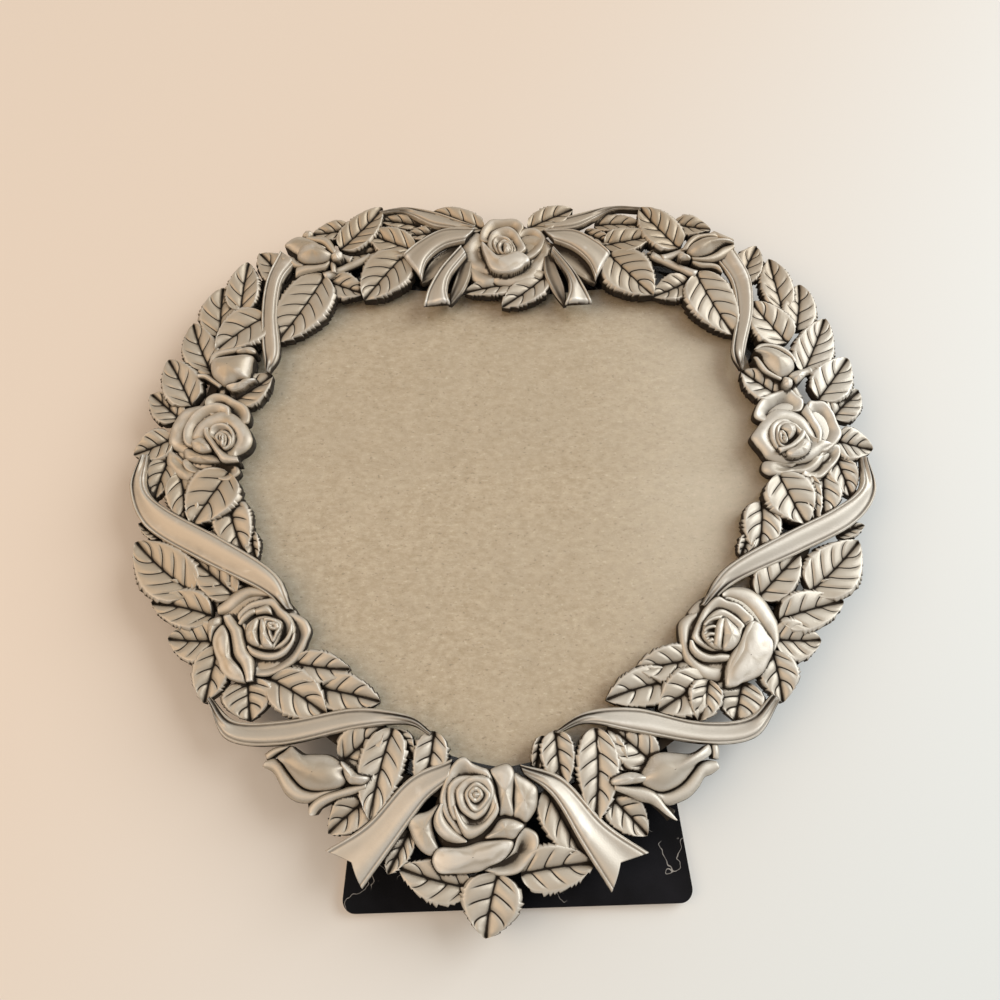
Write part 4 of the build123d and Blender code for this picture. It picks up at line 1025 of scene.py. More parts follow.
# %% Ribbons
RIBBONS = [
    # down the left and the right side
    ([(-64.0, 76.0), (-66.8, 67.0), (-67.3, 57.0), (-66.0, 45.0), (-63.9, 36.4)],
     [(-59.0, 71.5), (-62.3, 65.0), (-62.5, 54.0), (-60.8, 42.0), (-63.0, 36.3)], 2.0),
    ([(61.5, 72.5), (64.9, 65.0), (65.0, 54.0), (62.7, 43.0), (64.3, 37.5)],
     [(66.5, 77.0), (70.3, 67.0), (70.0, 56.0), (67.0, 45.0), (65.2, 37.3)], 2.0),
    # from the outside in across both sides, to the lower roses
    ([(-94.3, 12.0), (-95.7, 3.0), (-90.0, -7.5), (-75.0, -16.3), (-60.0, -23.5), (-53.0, -28.7)],
     [(-92.0, 12.0), (-91.2, 3.0), (-85.0, -2.8), (-70.0, -10.7), (-56.0, -19.5), (-51.0, -28.5)], 1.9),
    ([(95.0, 11.5), (95.7, 2.0), (89.0, -6.5), (75.0, -13.8), (58.0, -21.5), (49.5, -28.0)],
     [(93.0, 11.5), (91.5, 3.0), (83.5, -3.0), (70.0, -9.6), (55.0, -18.2), (48.3, -27.5)], 1.9),
    # under the lower leaves on both sides
    ([(-68.7, -49.2), (-62.0, -54.7), (-50.0, -54.6), (-34.0, -51.9), (-22.0, -53.5), (-16.3, -57.3)],
     [(-68.9, -50.5), (-63.5, -59.0), (-51.0, -60.3), (-34.0, -56.7), (-22.5, -55.6), (-16.8, -58.0)], 1.8),
    ([(63.2, -48.8), (56.5, -54.2), (45.0, -54.8), (31.0, -51.9), (19.5, -52.7), (12.0, -57.3)],
     [(65.0, -50.3), (58.5, -58.4), (47.0, -60.0), (31.0, -57.4), (20.0, -55.4), (13.0, -57.5)], 1.8),
    # from the bow outwards along the top
    ([(-36.0, 89.9), (-29.0, 91.6), (-20.0, 90.2), (-8.0, 85.0)],
     [(-36.0, 88.8), (-29.0, 89.1), (-20.0, 84.4), (-9.0, 82.8)], 1.5),
    ([(12.0, 86.0), (22.0, 89.5), (32.0, 91.9), (40.5, 91.5)],
     [(12.5, 82.9), (22.0, 84.1), (32.0, 90.0), (40.5, 90.1)], 1.5),
]
LOOPS = [
    ([(-8.0, 83.3), (-17.0, 83.0), (-24.0, 78.8), (-28.6, 74.3)],
     [(-11.0, 78.2), (-17.0, 76.2), (-21.5, 71.5), (-22.8, 65.5)], 2.9),
    ([(12.0, 82.7), (20.5, 82.8), (27.0, 79.0), (31.0, 75.0)],
     [(15.0, 78.3), (20.5, 75.5), (24.5, 71.0), (26.3, 65.5)], 2.9),
    ([(-12.0, 77.0), (-17.5, 69.5), (-20.8, 62.5), (-22.0, 57.0)],
     [(-10.3, 73.0), (-14.4, 66.5), (-15.4, 61.5), (-14.6, 57.6)], 3.3),
    ([(14.5, 76.5), (19.5, 69.5), (22.8, 63.5), (25.0, 58.0)],
     [(13.8, 74.0), (17.8, 67.0), (18.6, 62.0), (17.4, 57.4)], 3.3),
]
LOOP_INSIDES = [
    ([(-11.0, 79.6), (-16.0, 77.0), (-20.6, 72.6), (-23.4, 65.9)],
     [(-9.0, 73.8), (-14.0, 71.2), (-19.0, 66.8), (-22.6, 65.0)], 1.4),
    ([(13.0, 79.6), (19.6, 76.8), (24.4, 72.0), (26.8, 66.0)],
     [(13.6, 73.4), (17.4, 70.6), (22.0, 67.0), (26.0, 65.0)], 1.4),
    ([(-11.9, 73.0), (-13.2, 67.8), (-14.6, 62.3), (-15.2, 58.2)],
     [(-8.5, 72.0), (-9.4, 66.6), (-11.2, 62.2), (-14.2, 57.9)], 1.7),
    ([(11.8, 74.0), (12.0, 68.6), (14.3, 62.3), (17.2, 57.7)],
     [(14.4, 74.5), (16.0, 69.0), (17.6, 63.5), (18.0, 58.0)], 1.7),
]
TAILS = [
    # the two swallow tails at the bottom: outer edge to its tip, notch, inner edge
    ([(-11.5, -63.2), (-21.0, -67.3), (-30.0, -76.8), (-39.0, -82.4)], (-33.5, -83.9),
     [(-30.4, -90.0), (-24.0, -81.3), (-17.5, -72.6), (-12.5, -68.3)]),
    ([(4.0, -64.4), (13.5, -67.2), (23.0, -76.8), (32.2, -82.8)], (25.5, -84.7),
     [(23.6, -90.7), (17.5, -81.3), (11.5, -71.5), (5.0, -66.6)]),
]
TAIL_LIFT = 2.1
print(len(RIBBONS), "ribbons,", len(LOOPS), "loops and", len(TAILS), "tails")

# %% [markdown]
# ## The layout of the roses
# No two roses are alike, so each petal has an outline of its own, read in the photograph's
# plane. The forms go from the bottom up. The height of a form's crest over the flat back
# comes second. A fold has its two edges; any other form has its hub and its rim. Under each
# rose lies a low round ground that closes the gaps between its outer petals.

# %% The ground under each rose
GROUND_LEVEL = 2.0
ROSE_GROUNDS = [
    # x, y and radius
    (1, 76.5, 10.5), (-77, 17.5, 9.5), (78, 18.5, 10),
    (-59, -34.5, 10.5), (54.5, -35, 11), (-5, -75.5, 10.5),
]
print("the largest is", 2 * max(radius for x, y, radius in ROSE_GROUNDS), "mm across")

# %% The rose at the middle of the bow
BOW_ROSE = [
    ("lip", 3.0, (-3, 71), [(-10.4, 71.2), (-9.6, 68.4), (-7.8, 66.3), (-5.2, 65.2), (-2.6, 65.9),
     (-1.5, 68), (-1.5, 74), (-6, 75)]),
    ("lip", 3.2, (4.5, 74), [(-2.2, 66.1), (0.5, 65.4), (4.5, 65.2), (8.3, 66.5), (11.2, 69.6),
     (13.3, 73.8), (14.5, 76), (14.4, 79.2), (12.7, 82), (8, 83), (0, 80), (-4, 73), (-3.6, 68.5)]),
    ("lip", 3.5, (-4, 76), [(-7.2, 83.8), (-9.5, 82.6), (-11.6, 80), (-12.1, 76.5), (-11.3, 73),
     (-9, 70.6), (-5.5, 69.4), (-3.2, 68.9), (-2, 72), (-3, 80)]),
    ("bowl", 3.6, (5, 79), [(5.5, 84), (8, 85), (10.5, 84.5), (12.6, 82), (12.2, 79), (10.5, 76), (8, 74),
     (5, 73), (4, 80)]),
    ("bowl", 3.8, (0, 82), [(-6.8, 82.5), (-5.8, 85.3), (-3.6, 87.9), (0, 88.3), (4, 88.2), (6, 86.5),
     (6.3, 84.9), (5.8, 83.8), (4, 80), (0, 78), (-4.5, 79.5), (-6.6, 80.5)]),
    ("bowl", 4.6, (1.5, 79), [(-4.4, 80), (-3.6, 83), (-1.5, 84.9), (1.5, 85.5), (3.6, 84.4), (5.2, 82),
     (6.6, 79), (6.7, 77.2), (4, 75), (0, 75), (-3, 76.5), (-4.3, 78)]),
    ("cup", 5.2, (1, 78.5), [(-1, 75.5), (-2.5, 77.5), (-3, 80), (-2.3, 81.8), (-0.5, 82.3), (1.5, 81.6),
     (3, 80), (3.9, 78), (3.9, 76.6), (2, 75.3)]),
    ("cup", 5.8, (0.6, 78.3), [(-1.6, 79), (-0.8, 80.3), (0.6, 80.9), (2.2, 80.2), (3, 78.8), (3.2, 77),
     (2.5, 75.5), (0, 75.5), (-1.3, 77)]),
    ("bulge", 6.4, (1.4, 78), [(0.3, 79.4), (1.4, 80), (2.4, 79), (2.6, 77), (1.5, 76), (0.4, 76.2)]),
    ("swell", 5.5, (-0.8, 73.4), [(-6.2, 80.2), (-5.9, 77.5), (-5, 74.5), (-4.2, 72), (-2.8, 70.2),
     (-0.5, 69.3), (2.5, 69.4), (5, 70.6), (6.6, 72.2), (7.8, 73.2), (7.8, 74.6), (6.6, 75.9), (5, 76.6),
     (3.4, 76.5), (1, 76), (-1, 75.5), (-2.4, 75.7), (-3.8, 76.9), (-5, 78.6)]),
]
print(len(BOW_ROSE), "forms")

# %% The rose at the upper left
UPPER_LEFT_ROSE = [
    ("lip", 3.0, (-83, 9.5), [(-88, 14.5), (-88, 10.5), (-86, 7.8), (-83.5, 6), (-81, 5.2), (-79.2, 6),
     (-79, 8), (-82, 10), (-84, 12)]),
    ("bowl", 3.2, (-75.5, 9.5), [(-83.5, 11.5), (-83, 9), (-81, 7.6), (-78, 7.2), (-75, 6.9),
     (-73.2, 5.5), (-70.5, 5.3), (-68.2, 7.6), (-69.5, 10), (-72, 11), (-78, 11.5)]),
    ("bulge", 3.4, (-79, 12), [(-83.6, 14.5), (-83.3, 12), (-81, 10.7), (-78, 10.2), (-74, 10.3),
     (-73.2, 11), (-75, 12.6), (-78, 13.4), (-81, 14.2)]),
    ("lip", 3.4, (-80.5, 19), [(-80, 27.2), (-84, 27), (-86.2, 25.8), (-87.8, 22.5), (-88.6, 18.5),
     (-88, 15.5), (-85.5, 13.8), (-83.5, 13.2), (-80, 14), (-78, 22)]),
    ("bowl", 3.6, (-74.5, 25.5), [(-80, 27.5), (-79.8, 29.5), (-78, 30.8), (-75, 30.7), (-72, 29),
     (-69, 27.5), (-67.5, 25), (-67.3, 22.5), (-68.3, 21.5), (-72, 22), (-78, 24)]),
    ("bowl", 4.4, (-78, 20), [(-82.2, 14.8), (-84.2, 16.5), (-84.7, 20), (-83.6, 23.6), (-81, 26.6),
     (-77.5, 28), (-74.8, 27.7), (-73, 26), (-73, 20), (-79, 15)]),
    ("lip", 4.6, (-74, 17.8), [(-82.7, 18.3), (-81.5, 21.6), (-79, 24.3), (-75.5, 25.9), (-72.5, 25.3),
     (-69.5, 23), (-67.3, 20.3), (-66.1, 17.2), (-67, 14.5), (-69.3, 12.6), (-69.3, 10.8), (-72.5, 10.6),
     (-75, 12.5), (-79, 16), (-80.7, 17.3), (-82, 17.2)]),
    ("bulge", 5.0, (-79.2, 15.6), [(-82, 16.8), (-79.8, 18), (-78, 17), (-76.4, 14.6), (-76.6, 13.7),
     (-79, 13.2), (-81.2, 14.2), (-82, 15.5)]),
    ("cup", 5.4, (-74, 18), [(-77.9, 20), (-76.8, 21.6), (-74.5, 22), (-72.5, 21.2), (-71, 19),
     (-70.7, 16.5), (-71.5, 14.6), (-73, 13.8), (-74.5, 15), (-76.4, 17.2), (-77.7, 18.3)]),
    ("cup", 5.9, (-73.8, 17.2), [(-76.3, 18), (-75.3, 19.3), (-73.7, 19.9), (-72.3, 19), (-71.3, 17),
     (-71.8, 14.9), (-73, 14.1), (-74, 15), (-75.5, 16.6)]),
    ("cup", 6.3, (-73.8, 16.9), [(-75, 18.8), (-74, 19.3), (-72.9, 18.3), (-72.6, 16.5), (-73, 15),
     (-73.9, 14.9), (-74.8, 16.5)]),
    ("bulge", 6.7, (-73.8, 17.2), [(-74.4, 18.6), (-73.7, 18.8), (-73.3, 16.8), (-73.5, 15.2),
     (-74.2, 15.6)]),
    ("fold", 5.8, [(-79.4, 20.5), (-78.9, 18.3), (-77, 15.6), (-75, 12.9), (-73.2, 10.9),
     (-69, 10.9)], [(-78.2, 20.8), (-77.6, 19), (-76, 16.8), (-74, 14.6), (-72, 13), (-69.6, 12.3)]),
]
print(len(UPPER_LEFT_ROSE), "forms")

# %% The rose at the upper right
UPPER_RIGHT_ROSE = [
    ("bowl", 3.0, (83.5, 10.5), [(77.5, 7), (80, 6), (82.3, 6), (85, 8), (88, 11.5), (89, 14.3),
     (88.2, 15.9), (84, 14), (80, 10)]),
    ("lip", 3.2, (75.5, 9.3), [(68.2, 11), (67.7, 8.6), (69.2, 7), (71.5, 6.6), (74.5, 7.2), (78.5, 7.1),
     (82, 8.8), (84.5, 12), (84.6, 13.2), (80, 12), (74, 10.5), (70, 11.3)]),
    ("bowl", 3.4, (73.5, 26), [(67.3, 23.5), (67.8, 26.5), (70, 29.6), (73.5, 31.2), (77.6, 32.4),
     (79.5, 30.3), (81, 28.5), (80, 25.5), (76, 25), (71, 22)]),
    ("bowl", 3.6, (84.5, 20.5), [(82.2, 28.3), (84, 28.6), (86.5, 28.3), (88.5, 25.5), (89.2, 22.5),
     (90, 19.5), (89.2, 17.3), (86.5, 14.5), (83.5, 13.5), (80, 17), (81, 24)]),
    ("lip", 4.2, (75.5, 18), [(65.9, 18.3), (67.8, 21), (70.2, 24), (72.6, 26), (75, 26.5), (78.4, 25.6),
     (81, 23.6), (83, 20), (84, 17.5), (87.5, 16.2), (85, 14.4), (82.5, 12.4), (80, 11), (76, 10.4),
     (72.5, 10.7), (69.3, 12), (67.9, 14.2), (66.5, 16.3)]),
    ("fold", 4.5, [(80.2, 25.5), (81.5, 22.5), (83, 19), (83, 16.2)], [(82.3, 28.3), (83.6, 24.3),
     (85, 20.5), (84.3, 16.7)]),
    ("bowl", 4.9, (75.8, 17.8), [(70.8, 18.5), (71.2, 21), (73, 23), (75.3, 23.4), (77.5, 22.2),
     (79.2, 20.5), (80.9, 18.5), (81.4, 16), (80.3, 13.6), (77.5, 12.1), (74.8, 12.1), (72.5, 13.5),
     (71.2, 16)]),
    ("cup", 5.4, (75.8, 18.5), [(72.2, 18), (72.8, 21), (74.5, 22.4), (77, 22.3), (79, 20.8),
     (79.9, 18.6), (79, 16.5), (76, 14.5), (73.5, 14.8), (72.5, 16)]),
    ("bulge", 5.8, (76.5, 19.6), [(74, 20.5), (75.4, 22), (77.6, 21.5), (78, 20), (77, 18.2),
     (75.6, 17.2), (75.2, 19)]),
    ("cup", 6.0, (74.3, 18), [(73, 18), (73.3, 19.6), (74.3, 19.9), (75.3, 18.6), (75.4, 16.8),
     (74.5, 16), (73.4, 16.4)]),
    ("bulge", 6.5, (74.5, 17.6), [(74.1, 18.4), (74.8, 18.3), (75, 17), (74.4, 16.6), (74, 17.2)]),
    ("bulge", 5.9, (78.3, 14.6), [(74.5, 13.8), (77, 15.4), (79.5, 17.5), (81, 17.2), (81.3, 15.3),
     (80, 13.2), (77.5, 12.2), (75.3, 12.3)]),
    ("fold", 6.2, [(72.6, 15), (75.5, 15.8), (78, 17.8), (79.8, 20.3)], [(73.2, 13.6), (76.5, 14.8),
     (79.2, 16.8), (80.6, 19)]),
]
print(len(UPPER_RIGHT_ROSE), "forms")

# %% The rose at the lower left
LOWER_LEFT_ROSE = [
    ("bowl", 3.0, (-53.5, -36.5), [(-52, -29), (-50, -29.5), (-48, -30.6), (-46.8, -32.3), (-46.4, -33.8),
     (-47, -36), (-47.9, -38.6), (-49.9, -41.5), (-52.4, -43.3), (-55.4, -44.5), (-58, -44.6),
     (-59.3, -44.3), (-59.5, -41), (-58, -36), (-54, -31)]),
    ("fold", 3.2, [(-70, -27.5), (-68, -25.2), (-65.3, -23.2), (-62.5, -22.3), (-60, -22.6),
     (-57.5, -24.2)], [(-69.5, -29.6), (-66.5, -29.4), (-64.6, -27.5), (-62.5, -25.6), (-60.5, -25.2),
     (-57, -25.1)]),
    ("bowl", 3.9, (-56.5, -33.5), [(-64.8, -30), (-63.5, -27.8), (-61.5, -26.4), (-58, -25.6),
     (-56.2, -25.6), (-54, -27.8), (-52, -29.5), (-50.5, -32), (-50.1, -34.3), (-51, -37), (-52.5, -39.3),
     (-55.5, -40.7), (-58.5, -40.4), (-60.5, -38.5), (-62, -36), (-63, -33)]),
    ("bulge", 3.3, (-70.3, -32.5), [(-71.8, -31.5), (-70.6, -30.4), (-68.8, -30.2), (-68.2, -31.8),
     (-69.6, -33.6), (-70.4, -36.4), (-71.4, -34)]),
    ("swell", 3.8, (-66, -40), [(-68, -32), (-69.6, -33.8), (-70.1, -36), (-69.4, -38.5), (-68.3, -41),
     (-67, -43.5), (-64.8, -45.3), (-62, -46), (-60.9, -45.8), (-61.6, -43.8), (-62.8, -42.2),
     (-64.8, -39.8), (-65.6, -36.5), (-66.5, -33.8)]),
    ("fold", 4.8, [(-68.2, -30), (-67.6, -31.8), (-66.3, -33.8), (-65.5, -36.5), (-64.6, -39.5),
     (-62.6, -42), (-61.5, -44), (-60.9, -45.7)], [(-66.6, -29.5), (-65, -31.2), (-63.3, -33),
     (-62.2, -35.5), (-61.2, -38), (-59.8, -40), (-59.5, -42.5), (-59.4, -45.5)]),
    ("fold", 4.6, [(-64.3, -31.8), (-63.9, -30.2), (-62.3, -28.6), (-60.8, -28)], [(-63.6, -32.2),
     (-62.8, -31.3), (-61.5, -30), (-60.3, -29.2)]),
    ("fold", 4.6, [(-60.7, -28.2), (-58.9, -27.4), (-57.8, -27), (-56.8, -28)], [(-60.2, -29.6),
     (-58.5, -29.5), (-57.3, -29.5), (-56.3, -29.6)]),
    ("bowl", 5.0, (-57.5, -34), [(-62.4, -32.7), (-61.5, -31.3), (-60, -30.2), (-58, -29.8),
     (-55.8, -30.3), (-53.9, -31.1), (-53.3, -32.5), (-53.6, -34.5), (-54.5, -37), (-55, -38),
     (-57.5, -38), (-59.9, -37.3), (-61.8, -36)]),
    ("bulge", 5.5, (-60.4, -33.8), [(-62.2, -33.5), (-61.4, -31.5), (-60, -30.3), (-59.2, -31),
     (-59.2, -33.5), (-58.8, -36), (-58.5, -37.4), (-60.5, -37), (-61.8, -35.6)]),
    ("bulge", 5.6, (-57.8, -34.5), [(-58.9, -30.3), (-57.5, -31.2), (-57, -33), (-56.2, -35),
     (-55.2, -37.6), (-57.5, -37.6), (-58.6, -36), (-59, -33)]),
    ("cup", 5.8, (-55.8, -33), [(-58.2, -30.3), (-56, -30.4), (-54.1, -31.3), (-53.6, -32.8),
     (-54.3, -34.5), (-55.3, -36.5), (-56.4, -35), (-57.2, -33), (-58, -31.5)]),
    ("cup", 6.3, (-55.8, -32.4), [(-57.3, -31.6), (-56, -31.2), (-54.8, -31.5), (-54.2, -32.5),
     (-54.6, -33.3), (-56, -33.4), (-57, -32.8)]),
    ("fold", 4.6, [(-55, -38.2), (-53, -37.5), (-51.5, -36), (-50.8, -34),
     (-50.9, -32.5)], [(-54.5, -37.2), (-53, -35.8), (-52.2, -34.5), (-51.8, -33), (-51.6, -31.5)]),
    ("fold", 4.8, [(-61.5, -37.5), (-60.3, -39.4), (-57.5, -40.4), (-54.5, -40.4), (-52, -39),
     (-50.4, -36.2), (-50.2, -34)], [(-61.2, -37.1), (-59.5, -37.9), (-57, -38.7), (-54.5, -38.7),
     (-52.7, -37.8), (-51.2, -36.2), (-50.6, -34.5)]),
]
print(len(LOWER_LEFT_ROSE), "forms")

# %% The rose at the lower right
LOWER_RIGHT_ROSE = [
    ("fold", 3.2, [(54, -24.4), (55.2, -22.6), (58, -22.3), (61.5, -23), (64.3, -25.2), (66.3, -28.7),
     (67.5, -32), (67, -35.5), (65.2, -38.8)], [(54.2, -25.2), (56, -25.7), (58.5, -26.7), (60.4, -28.6),
     (61.8, -30.9), (63.2, -33.3), (64.6, -35.2), (65.2, -36.3), (64.9, -38)]),
    ("fold", 3.3, [(47.6, -29), (44.5, -30), (42.8, -32), (42.7, -36), (43.3, -40), (45.2, -43.2),
     (48, -45.6), (51, -46), (53, -45.6)], [(47.3, -30.2), (46.3, -31.8), (45.6, -34), (45.1, -36.8),
     (45.8, -39), (47.3, -40.6), (49.5, -41.4), (51.5, -41.5), (53.3, -41.3)]),
    ("bowl", 4.4, (53, -32.5), [(45.8, -35.6), (46.6, -33), (47.9, -30.3), (49.6, -27.6), (51.4, -25.8),
     (53.2, -25), (55.2, -26), (57.8, -26.8), (60, -28.8), (61.4, -30.6), (60, -33), (57.5, -37),
     (54.5, -38.6), (50.5, -38.6), (47.8, -37.4)]),
    ("fold", 4.7, [(45.3, -35.8), (45.1, -37.8), (46.2, -39.6), (48.3, -40.8), (51, -41),
     (54.4, -40.8)], [(45.9, -35.9), (47, -37.6), (48.8, -38.8), (50.7, -39.2), (52.7, -38.8),
     (54.9, -39.3)]),
    ("bowl", 5.2, (53, -33.5), [(48.4, -33.3), (49, -31.3), (51, -29.3), (52.8, -28.3), (54.3, -28.3),
     (56, -29.2), (58, -30.9), (59, -32.3), (58.3, -33.2), (57.5, -35.5), (56, -37.3), (54, -38.2),
     (51, -38), (49, -36.3), (48.2, -34.7)]),
    ("bulge", 5.7, (55.3, -34.5), [(54.2, -30.2), (55.5, -31), (57.2, -33), (57.7, -34.5), (57, -36.5),
     (55, -38.2), (53, -38), (53.3, -35), (53.6, -32)]),
    ("fold", 6.1, [(52.8, -30.6), (51.8, -32.5), (51.2, -35), (50.9, -36.8)], [(54.3, -30.3),
     (53.9, -32.5), (53.3, -35), (52.7, -38)]),
    ("fold", 5.7, [(48.8, -32), (50.3, -30.5), (52.3, -29.7), (54, -29.6)], [(49.3, -32.4), (50.8, -31.3),
     (52.4, -30.9), (53, -31)]),
    ("fold", 5.7, [(48.7, -33.3), (49.5, -32.5), (51, -32.1), (52, -32.3)], [(49, -34), (49.8, -33.3),
     (51, -32.9), (51.8, -33)]),
    ("fold", 5.7, [(48.8, -34.6), (50, -33.9), (51.5, -34)], [(49.3, -35.4), (50.2, -34.8),
     (51.3, -34.8)]),
    ("fold", 5.7, [(49.3, -35.8), (50.5, -35.2), (51, -35.5)], [(50, -36.6), (50.7, -36.2), (51, -36.3)]),
    ("swell", 5.0, (59.3, -39.5), [(61.2, -31), (62.8, -31.8), (64.3, -34.3), (65.3, -36), (65.1, -38.5),
     (63.8, -41), (62.2, -43.5), (60, -45), (57, -45.9), (55.3, -46.8), (53, -46.8), (53.1, -44),
     (53.8, -41.2), (55.2, -38.5), (56.8, -36.3), (58.2, -34), (59.5, -32)]),
    ("fold", 5.5, [(60.3, -31.3), (58.8, -33.3), (57.2, -36), (55.8, -38.2), (54.2, -40.7), (53.3, -43.3),
     (53, -46.6)], [(61.6, -31.2), (60.4, -34), (59.6, -37), (58.8, -39.5), (57.7, -41.8), (56, -44),
     (54.9, -46.6)]),
]
print(len(LOWER_RIGHT_ROSE), "forms")

# %% The rose at the bottom
BOTTOM_ROSE = [
    ("bowl", 3.0, (3.5, -83), [(4.9, -77.6), (7.4, -78.6), (8.2, -80.3), (7.8, -82.5), (6, -85),
     (3.9, -86.9), (1.7, -87.6), (-1, -87.6), (-3.4, -86.9), (-4.5, -86.3), (-1, -85), (1.2, -83.5),
     (2.5, -81), (3.5, -79)]),
    ("bulge", 3.2, (-17.6, -78), [(-14.2, -72.6), (-17, -74.3), (-20.4, -75), (-21.6, -76.5),
     (-20.8, -78.5), (-19.5, -81), (-17.8, -82.8), (-15.5, -83.7), (-14, -82.6), (-14.8, -80.5),
     (-15.6, -77.5), (-15.2, -75)]),
    ("bulge", 3.4, (5, -72), [(2.4, -66), (4.4, -66.7), (6.4, -67.8), (7.9, -69.4), (7.9, -72.5),
     (7.1, -74.8), (5.4, -76.7), (3.6, -76), (2.3, -75.3), (2.4, -72), (2.6, -69)]),
    ("bulge", 3.9, (0.6, -70), [(-2.8, -65.5), (-0.5, -64.4), (1.4, -64.2), (2.7, -65.8), (2.6, -68.5),
     (2.3, -72), (2.4, -75.3), (0.5, -75.2), (-0.7, -75.3), (-1, -73), (-1.3, -70), (-2, -67.5)]),
    ("bulge", 4.2, (0.5, -78), [(-4, -80), (-2.5, -78.2), (-1, -76.3), (1, -75.8), (3.3, -76.3),
     (4.9, -77.3), (3.8, -78.7), (2.3, -80.2), (-1, -80)]),
    ("swell", 4.3, (-6.5, -83.8), [(-13.9, -81.9), (-15.3, -83.2), (-15.5, -85), (-14, -87), (-11, -87.2),
     (-8, -87.2), (-5, -86.8), (-2.8, -85.7), (0, -84.5), (1.8, -82.7), (2.5, -81), (1.5, -80.2),
     (-2, -80.3), (-5, -80.6), (-7.5, -81.3), (-10, -81.8)]),
    ("bowl", 4.5, (-7.5, -71), [(-11.4, -64.2), (-10, -62.9), (-8.6, -62.7), (-6.9, -64), (-5, -64.8),
     (-3.3, -65.6), (-2, -68), (-1.5, -72), (-4, -78), (-9, -79.5), (-12, -77), (-13.6, -74.5),
     (-14.3, -71.8), (-13.6, -68.5), (-12.6, -66.2)]),
    ("fold", 5.0, [(-14, -72.7), (-15.4, -75.5), (-15.2, -78), (-13.2, -80.2), (-10.5, -81),
     (-8, -80.8)], [(-13.4, -72.8), (-13.3, -75), (-12, -76.8), (-10.3, -78.3), (-8.8, -79.6),
     (-7.9, -80.5)]),
    ("bowl", 5.3, (-6.5, -72), [(-12.6, -70), (-12, -68.3), (-10, -66.9), (-7, -66.7), (-3.8, -66.8),
     (-2.3, -69), (-1.3, -71.5), (-0.8, -74.3), (-2.2, -76.5), (-4.5, -79), (-7.5, -80), (-9, -78.8),
     (-10.2, -76.5), (-11.2, -76), (-12.3, -73.5)]),
    ("fold", 5.7, [(-11, -73.2), (-10.2, -76.5), (-8.4, -79.8), (-6.5, -80), (-4, -78.4), (-1.9, -76.2),
     (-0.8, -74.2), (-1.2, -72.5)], [(-10.7, -73), (-9.6, -75), (-8, -76.9), (-6, -77.2), (-4.2, -76.5),
     (-2.8, -75), (-2, -73.7), (-1.5, -72.7)]),
    ("bowl", 5.8, (-6.3, -71.2), [(-10.7, -70.5), (-10, -68.8), (-8.5, -67.3), (-6.5, -66.7), (-4, -67),
     (-3, -67.3), (-2, -69), (-1.8, -71), (-2.7, -73), (-4, -75), (-6, -76.2), (-8, -75.4),
     (-9.8, -73.8)]),
    ("cup", 6.3, (-5.9, -71), [(-8.7, -71), (-8, -69.3), (-6.3, -68), (-5, -68.3), (-3.5, -69.5),
     (-2.5, -70.8), (-3.2, -72.5), (-4.8, -74.2), (-6.2, -74.6), (-7.6, -73.5)]),
    ("cup", 6.7, (-6, -70.8), [(-7.9, -70.6), (-7, -69.3), (-5.8, -69), (-4.6, -69.9), (-4.3, -71.2),
     (-5.2, -72.3), (-6.3, -72.6), (-7.4, -71.8)]),
    ("bulge", 7.0, (-6, -70.9), [(-7, -70.8), (-6.3, -70.1), (-5.4, -70.2), (-4.9, -70.9), (-5.6, -71.6),
     (-6.5, -71.6)]),
]
print(len(BOTTOM_ROSE), "forms")

# %% All the roses, from the bow round to the bottom
ROSES = [*BOW_ROSE, *UPPER_LEFT_ROSE, *UPPER_RIGHT_ROSE, *LOWER_LEFT_ROSE, *LOWER_RIGHT_ROSE, *BOTTOM_ROSE]
print(len(ROSE_GROUNDS), "roses of", len(ROSES), "forms")

# %% [markdown]
# ## The layout of the buds
# A bud is a dome with the folds of its sepals over it, and it sits on a stalk. Its forms are
# written as those of the roses are. A stem is its two ends, and their heights over the
# wreath's flat back.

# %% The two buds at the bottom
LOWER_LEFT_BUD = [
    ("fold", 3.6, [(-54.8, -62), (-52.5, -60.6), (-49, -60.2)], [(-54, -63.6), (-52, -62.2), (-50, -61)]),
    ("fold", 4.2, [(-36.5, -69.4), (-40, -69.8), (-43, -70), (-45.5, -69.3), (-47.5, -67.6),
     (-49.5, -65.3), (-50.8, -63.6), (-52.5, -63), (-54.5, -63.6)], [(-37.5, -70), (-40.5, -71),
     (-43, -72.5), (-45.5, -72.7), (-47.6, -72.1), (-49.6, -70.6), (-51.2, -68.2), (-52.8, -66),
     (-55, -64.9)]),
    ("dome", 4.6, (-43, -66), [(-34.8, -64.8), (-37, -64), (-40, -62.2), (-43, -62), (-46, -61.9),
     (-48, -60.8), (-49, -60.3), (-50.5, -61.5), (-52, -62.6), (-51.5, -63.4), (-50.5, -64.2), (-49, -66),
     (-47, -68.2), (-45, -69.6), (-42.5, -70.2), (-39, -70), (-36.6, -69.3), (-35.4, -67.8), (-36, -66)]),
    ("bulge", 5.4, (-34.4, -67), [(-30.5, -67.2), (-33, -66.5), (-35, -65), (-37.2, -63.6),
     (-36.6, -65.5), (-35.9, -67.3), (-34.8, -68.5), (-33.5, -68.7), (-31.5, -68.6)]),
    ("fold", 4.6, [(-31, -68.4), (-34, -68.9), (-37, -69.8), (-40, -70.6), (-42.3, -71.8), (-43.8, -73.6),
     (-43.4, -75.2)], [(-31, -69.6), (-34, -70.8), (-37, -71.6), (-39.8, -72.8), (-41.3, -74),
     (-42.2, -75.2), (-43, -75.2)]),
]
